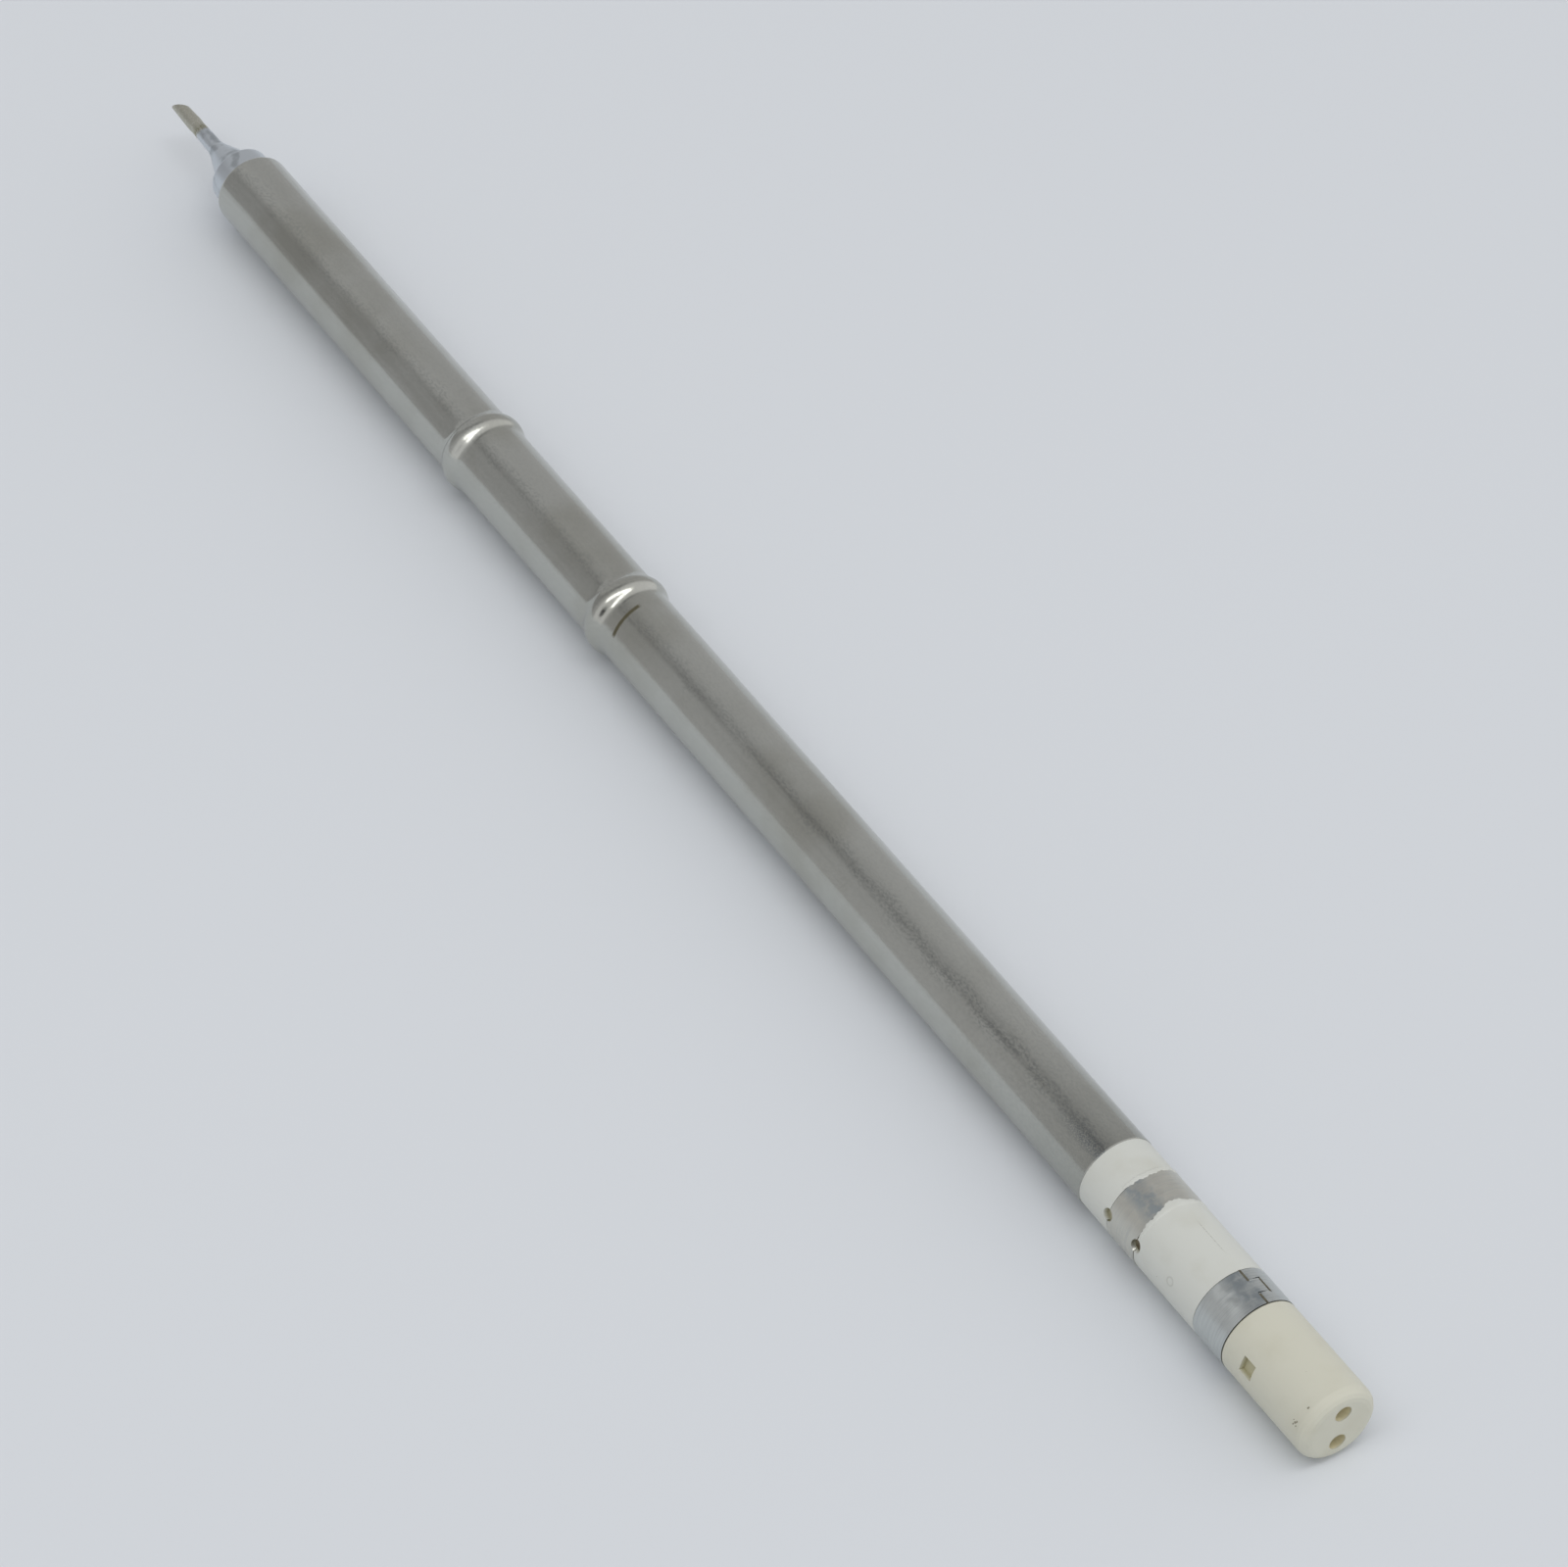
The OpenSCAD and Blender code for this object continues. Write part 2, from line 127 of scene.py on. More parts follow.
def place_mesh(name: str, mesh: bpy.types.Mesh, material: bpy.types.Material) -> bpy.types.Object:
    """Puts a finished mesh into the scene at the origin, with one material.

    Its faces are smooth, apart from the edges where two of them meet at a clear angle.

    Args:
        name: Name of the object and its mesh.
        mesh: The mesh, with its place in its points.
        material: The finish of all its faces.

    Returns:
        The new object.
    """
    mesh.name = name
    mesh.materials.clear()
    mesh.materials.append(material)
    mesh.shade_smooth()
    mesh.set_sharp_from_angle(angle=math.radians(SHARP_ANGLE))
    piece = bpy.data.objects.new(name, mesh)
    bpy.context.scene.collection.objects.link(piece)
    return piece


def hand_over(piece: bpy.types.Object, slot: Slot, *nodes: str) -> None:
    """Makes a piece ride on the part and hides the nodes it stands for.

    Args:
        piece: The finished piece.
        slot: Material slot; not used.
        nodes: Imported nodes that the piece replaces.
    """
    if nodes:
        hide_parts(*nodes)
    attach(piece, "root")
    LOG.info("built %s with %d faces", piece.name, len(piece.data.polygons))


def arc(centre: tuple[float, float], radius: float, start: float, end: float,
        steps: int) -> list[tuple[float, float]]:
    """Points of an arc in the plane of station and radius.

    Args:
        centre: Station and distance from the axis of the arc's centre.
        radius: Radius of the arc.
        start: First angle in degrees, from +X towards outward.
        end: Last angle in degrees.
        steps: Number of equal steps.

    Returns:
        Pairs of station and radius.
    """
    turns = [math.radians(start + (end - start) * i / steps) for i in range(steps + 1)]
    return [(centre[0] + radius * math.cos(a), centre[1] + radius * math.sin(a)) for a in turns]


def lathe(outline: list[tuple[float, float]], segments: int, closed: bool) -> bmesh.types.BMesh:
    """Turns an outline about the axis.

    Args:
        outline: Pairs of station and radius in millimetres.
        segments: Number of faces round the axis.
        closed: Whether the last point joins the first, as on a tube with a wall.

    Returns:
        A closed mesh in metres with its faces outwards.
    """
    mesh = bmesh.new()
    rings = []
    for station, radius in outline:
        if radius == 0:
            rings.append([mesh.verts.new(on_round(station, 0, 0))] * segments)
        else:
            rings.append([mesh.verts.new(on_round(station, radius, 360 * k / segments))
                          for k in range(segments)])
    pairs = list(zip(rings, rings[1:])) + ([(rings[-1], rings[0])] if closed else [])
    for first, second in pairs:
        for k in range(segments):
            corners = (first[k], first[(k + 1) % segments], second[(k + 1) % segments], second[k])
            mesh.faces.new(list(dict.fromkeys(corners)))
    bmesh.ops.recalc_face_normals(mesh, faces=mesh.faces)
    return mesh


def to_mesh(shape: bmesh.types.BMesh, name: str) -> bpy.types.Mesh:
    """Turns an edit mesh into mesh data and frees it."""
    mesh = bpy.data.meshes.new(name)
    shape.to_mesh(mesh)
    shape.free()
    return mesh


class Recipe:
    """A Geometry Nodes tree with named inputs, which is run once and leaves a plain mesh."""

    def __init__(self, name: str, inputs: dict[str, str]) -> None:
        """Makes the empty tree.

        Args:
            name: Name of the tree.
            inputs: Socket types by input name.
        """
        self.tree = bpy.data.node_groups.new(name, "GeometryNodeTree")
        self.tree.interface.new_socket("Geometry", in_out="INPUT", socket_type="NodeSocketGeometry")
        self.sockets = {key: self.tree.interface.new_socket(key, in_out="INPUT", socket_type=kind)
                        for key, kind in inputs.items()}
        self.tree.interface.new_socket("Geometry", in_out="OUTPUT", socket_type="NodeSocketGeometry")
        self.start = add_node(self.tree, "NodeGroupInput")

    def finish(self, geometry: bpy.types.NodeSocket) -> None:
        """Ends the tree: instances made real, smooth faces and the material."""
        real = add_node(self.tree, "GeometryNodeRealizeInstances", links={0: geometry})
        smooth = add_node(self.tree, "GeometryNodeSetShadeSmooth", links={0: real.outputs[0]})
        dressed = add_node(self.tree, "GeometryNodeSetMaterial",
                           links={0: smooth.outputs[0], "Material": self.start.outputs["Finish"]})
        add_node(self.tree, "NodeGroupOutput", links={0: dressed.outputs[0]})

    def run(self, source: bpy.types.Object, values: dict) -> bpy.types.Mesh:
        """Runs the tree on an object and removes that object.

        Args:
            source: Object whose curve or points the tree reads.
            values: Values by input name.

        Returns:
            The result as a plain mesh.
        """
        modifier = source.modifiers.new(self.tree.name, "NODES")
        modifier.node_group = self.tree
        for key, value in values.items():
            modifier[self.sockets[key].identifier] = value
        graph = bpy.context.evaluated_depsgraph_get()
        mesh = bpy.data.meshes.new_from_object(source.evaluated_get(graph), depsgraph=graph)
        source.modifiers.remove(modifier)
        bpy.data.objects.remove(source)
        return mesh


class SweptWire(Recipe):
    """Sweeps a round section along the source's curve."""

    def __init__(self) -> None:
        """Builds the tree."""
        super().__init__("swept_wire", {"Radius": "NodeSocketFloat", "Sides": "NodeSocketInt",
                                        "Finish": "NodeSocketMaterial"})
        section = add_node(self.tree, "GeometryNodeCurvePrimitiveCircle",
                           links={"Resolution": self.start.outputs["Sides"],
                                  "Radius": self.start.outputs["Radius"]})
        swept = add_node(self.tree, "GeometryNodeCurveToMesh", {"Fill Caps": True},
                         {0: self.start.outputs["Geometry"], 1: section.outputs[0]})
        self.finish(swept.outputs[0])


class Specks(Recipe):
    """Lays a thin flake on every point of the source, flat on the round surface."""

    def __init__(self) -> None:
        """Builds the tree."""
        super().__init__("specks", {"Seed": "NodeSocketInt", "Thickness": "NodeSocketFloat",
                                    "Finish": "NodeSocketMaterial"})
        place = add_node(self.tree, "GeometryNodeInputPosition")
        across = add_node(self.tree, "ShaderNodeVectorMath", {"operation": "MULTIPLY", 1: (0, 1, 1)},
                          {0: place.outputs[0]})
        upright = add_node(self.tree, "FunctionNodeAlignRotationToVector", {"axis": "Z"},
                           {"Vector": across.outputs[0]})
        spin = add_node(self.tree, "FunctionNodeRandomValue", {"data_type": "FLOAT", 2: 0.0, 3: math.tau},
                        {"Seed": self.start.outputs["Seed"]})
        about = add_node(self.tree, "FunctionNodeAxisAngleToRotation", {"Axis": (0, 0, 1)},
                         {"Angle": spin.outputs[1]})
        turned = add_node(self.tree, "FunctionNodeRotateRotation", {"rotation_space": "LOCAL"},
                          {0: upright.outputs[0], 1: about.outputs[0]})
        size = add_node(self.tree, "GeometryNodeInputNamedAttribute", {"data_type": "FLOAT", "Name": "size"})
        narrow = add_node(self.tree, "ShaderNodeMath", {"operation": "MULTIPLY", 1: 0.7},
                          {0: size.outputs[0]})
        scale = add_node(self.tree, "ShaderNodeCombineXYZ",
                         links={0: size.outputs[0], 1: narrow.outputs[0],
                                2: self.start.outputs["Thickness"]})
        flake = add_node(self.tree, "GeometryNodeMeshIcoSphere", {"Radius": 1.0, "Subdivisions": 2})
        laid = add_node(self.tree, "GeometryNodeInstanceOnPoints",
                        links={"Points": self.start.outputs["Geometry"], "Instance": flake.outputs[0],
                               "Rotation": turned.outputs[0], "Scale": scale.outputs[0]})
        self.finish(laid.outputs[0])


@dataclass(frozen=True)
class Finish:
    """Shared base of every finish: a fresh material with object coordinates in millimetres."""

    name: str

    def start(self) -> tuple[bpy.types.Material, bpy.types.NodeTree, bpy.types.Node, bpy.types.NodeSocket]:
        """Makes the empty material.

        Returns:
            The material, its tree, its principled shader and the place in millimetres.
        """
        material = bpy.data.materials.new(self.name)
        material.use_nodes = True
        tree = material.node_tree
        coords = add_node(tree, "ShaderNodeTexCoord")
        place = add_node(tree, "ShaderNodeMapping", {"Scale": (1 / MM, 1 / MM, 1 / MM)},
                         {"Vector": coords.outputs["Object"]})
        return material, tree, tree.nodes["Principled BSDF"], place.outputs[0]

    def round_place(self, tree: bpy.types.NodeTree,
                    place: bpy.types.NodeSocket) -> tuple[bpy.types.NodeSocket, ...]:
        """Splits the place about the axis.

        Args:
            tree: The material's tree.
            place: The place in millimetres.

        Returns:
            The station, the distance from the axis and the angle about it in degrees.
        """
        axes = add_node(tree, "ShaderNodeSeparateXYZ", links={0: place})
        across = add_node(tree, "ShaderNodeVectorMath", {"operation": "MULTIPLY", 1: (0, 1, 1)}, {0: place})
        radius = add_node(tree, "ShaderNodeVectorMath", {"operation": "LENGTH"}, {0: across.outputs[0]})
        angle = add_node(tree, "ShaderNodeMath", {"operation": "ARCTAN2"},
                         {0: axes.outputs[1], 1: axes.outputs[2]})
        turn = add_node(tree, "ShaderNodeMath", {"operation": "DEGREES"}, {0: angle.outputs[0]})
        return axes.outputs[0], radius.outputs["Value"], turn.outputs[0]

    def noise(self, tree: bpy.types.NodeTree, vector: bpy.types.NodeSocket, per_mm: float,
              detail: float = 3.0, stretch: tuple[float, float, float] = (1, 1, 1)) -> bpy.types.NodeSocket:
        """Noise of a real grain size.

        Args:
            tree: The material's tree.
            vector: The place in millimetres.
            per_mm: Grains in a millimetre.
            detail: Finer layers on top.
            stretch: Factor on the grain count along each axis.

        Returns:
            The noise value, about 0.5 in the middle.
        """
        scaled = add_node(tree, "ShaderNodeMapping", {"Scale": stretch}, {"Vector": vector})
        grain = add_node(tree, "ShaderNodeTexNoise", {"Scale": per_mm, "Detail": detail},
                         {"Vector": scaled.outputs[0]})
        return grain.outputs[0]

    def ramp(self, tree: bpy.types.NodeTree, value: bpy.types.NodeSocket, low: float, high: float,
             to_low: float = 0.0, to_high: float = 1.0) -> bpy.types.NodeSocket:
        """Smooth step of a value between two levels."""
        step = add_node(tree, "ShaderNodeMapRange",
                        {"interpolation_type": "SMOOTHSTEP", "From Min": low, "From Max": high,
                         "To Min": to_low, "To Max": to_high}, {"Value": value})
        return step.outputs[0]

    def band(self, tree: bpy.types.NodeTree, value: bpy.types.NodeSocket, middle: float, half: float,
             soft: float) -> bpy.types.NodeSocket:
        """One inside a band about a middle value and zero outside, with soft edges."""
        off = add_node(tree, "ShaderNodeMath", {"operation": "SUBTRACT", 1: middle}, {0: value})
        size = add_node(tree, "ShaderNodeMath", {"operation": "ABSOLUTE"}, {0: off.outputs[0]})
        return self.ramp(tree, size.outputs[0], half - soft, half + soft, 1.0, 0.0)

    def reach(self, tree: bpy.types.NodeTree, station: bpy.types.NodeSocket, turn: bpy.types.NodeSocket,
              at_x: float, at_turn: float, radius: float = 2.75) -> bpy.types.NodeSocket:
        """Distance in millimetres over the round surface from a place on it.

        Args:
            tree: The material's tree.
            station: The station in millimetres.
            turn: The angle about the axis in degrees.
            at_x: Station of the place.
            at_turn: Angle of the place.
            radius: Radius of the surface.

        Returns:
            The distance.
        """
        along = add_node(tree, "ShaderNodeMath", {"operation": "SUBTRACT", 1: at_x}, {0: station})
        about = add_node(tree, "ShaderNodeMath", {"operation": "SUBTRACT", 1: at_turn}, {0: turn})
        around = add_node(tree, "ShaderNodeMath", {"operation": "MULTIPLY", 1: math.radians(radius)},
                          {0: about.outputs[0]})
        apart = add_node(tree, "ShaderNodeCombineXYZ", links={0: along.outputs[0], 1: around.outputs[0]})
        length = add_node(tree, "ShaderNodeVectorMath", {"operation": "LENGTH"}, {0: apart.outputs[0]})
        return length.outputs["Value"]

    def times(self, tree: bpy.types.NodeTree, first: bpy.types.NodeSocket,
              second: bpy.types.NodeSocket | float) -> bpy.types.NodeSocket:
        """Product of two values, of which the second may be a number."""
        node = add_node(tree, "ShaderNodeMath", {"operation": "MULTIPLY"}, {0: first})
        if isinstance(second, float):
            node.inputs[1].default_value = second
        else:
            tree.links.new(second, node.inputs[1])
        return node.outputs[0]

    def blend(self, tree: bpy.types.NodeTree, amount: bpy.types.NodeSocket,
              under: bpy.types.NodeSocket | str, over: str) -> bpy.types.NodeSocket:
        """Lays one hex colour over a colour or another hex colour, by an amount."""
        node = add_node(tree, "ShaderNodeMix", {"data_type": "RGBA"}, {0: amount})
        node.inputs[7].default_value = linear(over)
        if isinstance(under, str):
            node.inputs[6].default_value = linear(under)
        else:
            tree.links.new(under, node.inputs[6])
        return node.outputs[2]

    def bump(self, tree: bpy.types.NodeTree, height: bpy.types.NodeSocket, depth: float,
             under: bpy.types.NodeSocket | None = None) -> bpy.types.NodeSocket:
        """Bump of a real depth in millimetres, on top of another bump."""
        node = add_node(tree, "ShaderNodeBump", {"Strength": 1.0, "Distance": depth * MM},
                        {"Height": height})
        if under:
            tree.links.new(under, node.inputs["Normal"])
        return node.outputs[0]


@dataclass(frozen=True)
class SatinStainless(Finish):
    """Drawn stainless steel tube, lightly polished and much handled.

    Its near mirror skin shows the room in bands along the tube. Drawing marks and a shallow
    waviness break up their edges, and a thin dark line is burnt in beside the rear bead. A dark band
    along the tube, at the angle where the room's dark band mirrors in it, is painted reflection in
    the base colour. It is strongest near the rear and is broken into blots together with the real wear.
    """

    steel: str = "#BEBFB9"
    tarnish: str = "#B2B2AA"
    mark: str = "#57533F"
    grime: str = "#7D8284"
    # Tone of the real wear, also used for the painted dark reflection band
    dulled_and_painted_streak: str = "#8E918F"
    handled: str = "#A4A59E"
    blots_per_mm: float = 6.5
    worn_len: float = 25.0
    # Angle about the axis of the painted dark reflection band
    painted_streak_turn: float = 21.0
    waves_per_mm: float = 1.1
    wave_depth: float = 0.0022
    grains_per_mm: float = 12.0
    grain_depth: float = 0.0006
    roughness: float = 0.2
    mark_x: float = 78.93
    mark_lean: float = 0.0048
    mark_half: float = 0.15
    mark_turn: float = 33.5
    mark_half_turn: float = 29.0
    rear_x: float = 23.2
    grime_len: float = 6.0
    grime_turn: float = 27.0

    def build(self) -> bpy.types.Material:
        """Builds the material."""
        material, tree, shader, place = self.start()
        station, _, turn = self.round_place(tree, place)
        waves = self.noise(tree, place, self.waves_per_mm, 2.0)
        grain = self.noise(tree, place, self.grains_per_mm, 2.0)
        drawn = self.noise(tree, place, 3.0, 4.0, (0.05, 1, 1))
        cloud = self.noise(tree, place, 0.15, 3.0)
        colour = self.blend(tree, self.ramp(tree, cloud, 0.4, 0.7), self.steel, self.tarnish)
        handled = self.ramp(tree, station, self.rear_x, self.rear_x + self.worn_len / 2, 0.6, 0.0)
        colour = self.blend(tree, handled, colour, self.handled)
        near_rear = self.ramp(tree, station, self.rear_x, self.rear_x + self.grime_len, 1.0, 0.0)
        dirty = self.times(tree, near_rear, self.band(tree, turn, self.grime_turn, 10.0, 7.0))
        specked = self.times(tree, dirty, self.ramp(tree, grain, 0.42, 0.56))
        colour = self.blend(tree, specked, colour, self.grime)
        blots = self.noise(tree, place, self.blots_per_mm, 4.0, (0.6, 1, 1))
        all_over = self.ramp(tree, station, self.rear_x, self.rear_x + self.worn_len, 0.2, 0.1)
        # Painted reflection: a dark band along the tube where the room's dark band mirrors in it, strongest near the
        # rear; the blots share it with the real wear
        strength = self.ramp(tree, station, self.rear_x, self.rear_x + 2 * self.worn_len, 0.6, 0.3)
        drift = self.noise(tree, place, 0.35, 3.0)
        wander = add_node(tree, "ShaderNodeMath", {"operation": "MULTIPLY_ADD", 1: 40.0}, {0: drift, 2: turn})
        painted_streak = self.times(tree, self.band(tree, wander.outputs[0], self.painted_streak_turn + 20.0, 10.0, 8.0), strength)
        most = add_node(tree, "ShaderNodeMath", {"operation": "MAXIMUM"}, {0: all_over, 1: painted_streak})
        wear_and_painted_streak = self.times(tree, most.outputs[0], self.ramp(tree, blots, 0.4, 0.65))
        colour = self.blend(tree, wear_and_painted_streak, colour, self.dulled_and_painted_streak)
        leant = add_node(tree, "ShaderNodeMath", {"operation": "MULTIPLY_ADD", 1: self.mark_lean},
                         {0: turn, 2: station})
        ragged = add_node(tree, "ShaderNodeMath", {"operation": "MULTIPLY_ADD", 1: 0.08},
                          {0: grain, 2: leant.outputs[0]})
        on_line = self.band(tree, ragged.outputs[0], self.mark_x + 0.04, self.mark_half, 0.05)
        burnt = self.times(tree, on_line, self.band(tree, turn, self.mark_turn, self.mark_half_turn, 3.0))
        colour = self.blend(tree, burnt, colour, self.mark)
        rough = self.ramp(tree, drawn, 0.35, 0.7, self.roughness - 0.03, self.roughness + 0.06)
        metal = self.ramp(tree, burnt, 0.0, 1.0, 1.0, 0.2)
        normal = self.bump(tree, grain, self.grain_depth, self.bump(tree, waves, self.wave_depth))
        tree.links.new(colour, shader.inputs["Base Color"])
        tree.links.new(rough, shader.inputs["Roughness"])
        tree.links.new(metal, shader.inputs["Metallic"])
        tree.links.new(normal, shader.inputs["Normal"])
        return material


@dataclass(frozen=True)
class PlatedBit(Finish):
    """Copper bit plated with iron and chromium, with its point tinned.

    The chromium is a cool blue-grey gloss. The used solder on the point is a dull khaki grey,
    lumpy and darker where flux has burnt on at its edge.
    """

    chromium: str = "#D0D6DB"
    stained: str = "#B0B6BA"
    solder: str = "#B9B8AB"
    bright: str = "#D2D0C8"
    flux: str = "#8A8870"
    tinned_x: float = 140.5
    flux_half: float = 0.25

    def build(self) -> bpy.types.Material:
        """Builds the material."""
        material, tree, shader, place = self.start()
        station, _, _ = self.round_place(tree, place)
        lumps = self.noise(tree, place, 2.2, 3.0)
        fine = self.noise(tree, place, 9.0, 3.0)
        shifted = add_node(tree, "ShaderNodeMath", {"operation": "MULTIPLY_ADD", 1: 0.8},
                           {0: lumps, 2: station})
        tinned = self.ramp(tree, shifted.outputs[0], self.tinned_x + 0.3, self.tinned_x + 0.45)
        edge = self.band(tree, shifted.outputs[0], self.tinned_x + 0.6, self.flux_half, 0.3)
        patches = self.noise(tree, place, 0.9, 2.0)
        colour = self.blend(tree, self.ramp(tree, patches, 0.52, 0.7), self.chromium, self.stained)
        tin = self.blend(tree, self.ramp(tree, fine, 0.5, 0.7), self.solder, self.bright)
        tinning = add_node(tree, "ShaderNodeMix", {"data_type": "RGBA"}, {0: tinned, 6: colour, 7: tin})
        colour = tinning.outputs[2]
        colour = self.blend(tree, self.times(tree, edge, self.ramp(tree, fine, 0.4, 0.6)), colour, self.flux)
        rough = self.ramp(tree, tinned, 0.0, 1.0, 0.34, 0.42)
        normal = self.bump(tree, lumps, 0.006, self.bump(tree, fine, 0.0015))
        tree.links.new(colour, shader.inputs["Base Color"])
        tree.links.new(rough, shader.inputs["Roughness"])
        tree.links.new(normal, shader.inputs["Normal"])
        shader.inputs["Metallic"].default_value = 1.0
        return material


@dataclass(frozen=True)
class FiredCeramic(Finish):
    """Pressed and fired ceramic without glaze.

    It is even and matt with faint mottling. Pits keep the dirt and look brown. The drilled holes
    in the end face take a yellowish tone lighter than the body: painted light that lifts the shade in them.
    """

    body: str = "#CFD1CA"
    grime: str = "#BDBCAE"
    inside: str = "#B7B49C"
    # Yellowish tone inside the end holes, lighter than the body: painted light against the shade in them
    hole_painted_light: str = "#E2DAB8"
    roughness: float = 0.48
    inside_r: float = 2.7
    inside_deep: float = 0.3
    end_hole_r: float = 1.9
    edge_x: float = 0.75
    face_x: float = 0.03
    scratch_x: float = 14.25
    scratch_turn: float = -12.0
    line: str = "#8C8B80"
    oval_x: float = 13.86
    oval_turn: float = 71.0
    oval_r: float = 0.27

    def build(self) -> bpy.types.Material:
        """Builds the material."""
        material, tree, shader, place = self.start()
        station, radius, turn = self.round_place(tree, place)
        mottle = self.noise(tree, place, 0.4, 4.0)
        pores = self.noise(tree, place, 9.0, 2.0)
        colour = self.blend(tree, self.ramp(tree, mottle, 0.45, 0.85, 0.0, 0.45), self.body, self.grime)
        # Painted light: the inside of the end holes takes the lighter tone
        painted_light_hole_share = self.times(tree, self.ramp(tree, radius, self.end_hole_r, self.end_hole_r + 0.02, 1.0, 0.0),
                             self.ramp(tree, station, self.face_x, self.face_x + 0.1))
        in_pit = self.times(tree, self.ramp(tree, radius, self.inside_r - self.inside_deep, self.inside_r, 1.0, 0.0),
                            self.ramp(tree, station, self.edge_x, self.edge_x + 0.05))
        colour = self.blend(tree, in_pit, colour, self.inside)
        colour = self.blend(tree, painted_light_hole_share, colour, self.hole_painted_light)
        scratch = self.times(tree, self.band(tree, station, self.scratch_x, 1.3, 0.5),
                             self.band(tree, turn, self.scratch_turn, 0.5, 0.4))
        broken = self.times(tree, scratch, self.ramp(tree, pores, 0.4, 0.6, 0.15, 0.7))
        colour = self.blend(tree, broken, colour, self.line)
        oval = self.band(tree, self.reach(tree, station, turn, self.oval_x, self.oval_turn), self.oval_r, 0.05, 0.05)
        colour = self.blend(tree, self.times(tree, oval, 0.3), colour, self.line)
        tree.links.new(colour, shader.inputs["Base Color"])
        tree.links.new(self.bump(tree, pores, 0.002), shader.inputs["Normal"])
        shader.inputs["Roughness"].default_value = self.roughness
        return material


@dataclass(frozen=True)
class ContactStrip(Finish):
    """Nickel-plated contact strip, rubbed by the spring contacts of the handle.

    The plating is bright with hair lines round it, and one zone is rubbed dark and bluish.
    """

    metal: str = "#CDCCC3"
    rubbed: str = "#9EA5A7"
    zone_turn: float = 25.0
    zone_half: float = 14.0
    lines: float = 0.25
    roughness: float = 0.3

    def build(self) -> bpy.types.Material:
        """Builds the material."""
        material, tree, shader, place = self.start()
        _, _, turn = self.round_place(tree, place)
        hair = self.noise(tree, place, 1.0, 5.0, (14.0, 0.5, 0.5))
        blots = self.noise(tree, place, 1.6, 5.0)
        wander = add_node(tree, "ShaderNodeMath", {"operation": "MULTIPLY_ADD", 1: 26.0},
                          {0: blots, 2: turn})
        zone = self.band(tree, wander.outputs[0], self.zone_turn + 13.0, self.zone_half, 9.0)
        spotted = self.times(tree, zone, self.ramp(tree, blots, 0.36, 0.6, 0.35, 1.0))
        colour = self.blend(tree, spotted, self.metal, self.rubbed)
        lined = self.times(tree, self.ramp(tree, hair, 0.45, 0.7), self.lines)
        colour = self.blend(tree, lined, colour, self.rubbed)
        rough = self.ramp(tree, blots, 0.3, 0.7, self.roughness, self.roughness + 0.12)
        normal = self.bump(tree, hair, 0.0015, self.bump(tree, blots, 0.006))
        tree.links.new(colour, shader.inputs["Base Color"])
        tree.links.new(rough, shader.inputs["Roughness"])
        tree.links.new(normal, shader.inputs["Normal"])
        shader.inputs["Metallic"].default_value = 1.0
        return material


@dataclass(frozen=True)
class PlainMetal(Finish):
    """Bare wire or weld metal, dulled unevenly by heat."""

    metal: str = "#B3B1AA"
    dull: str = "#8D887C"
    roughness: float = 0.4

    def build(self) -> bpy.types.Material:
        """Builds the material."""
        material, tree, shader, place = self.start()
        cloud = self.noise(tree, place, 2.0)
        tree.links.new(self.blend(tree, self.ramp(tree, cloud, 0.3, 0.7), self.metal, self.dull),
                       shader.inputs["Base Color"])
        tree.links.new(self.bump(tree, cloud, 0.01), shader.inputs["Normal"])
        shader.inputs["Roughness"].default_value = self.roughness
        shader.inputs["Metallic"].default_value = 1.0
        return material


@dataclass(frozen=True)
class Dirt(Finish):
    """Dry grey-brown dirt and cement dust: matt and slightly uneven. In light tones it is also the painted sheen in
    the strip's seam.
    """

    colour: str = "#77735F"
    light: str = "#9A9684"

    def build(self) -> bpy.types.Material:
        """Builds the material."""
        material, tree, shader, place = self.start()
        cloud = self.noise(tree, place, 6.0)
        tree.links.new(self.blend(tree, self.ramp(tree, cloud, 0.3, 0.7), self.colour, self.light),
                       shader.inputs["Base Color"])
        shader.inputs["Roughness"].default_value = 0.8
        return material


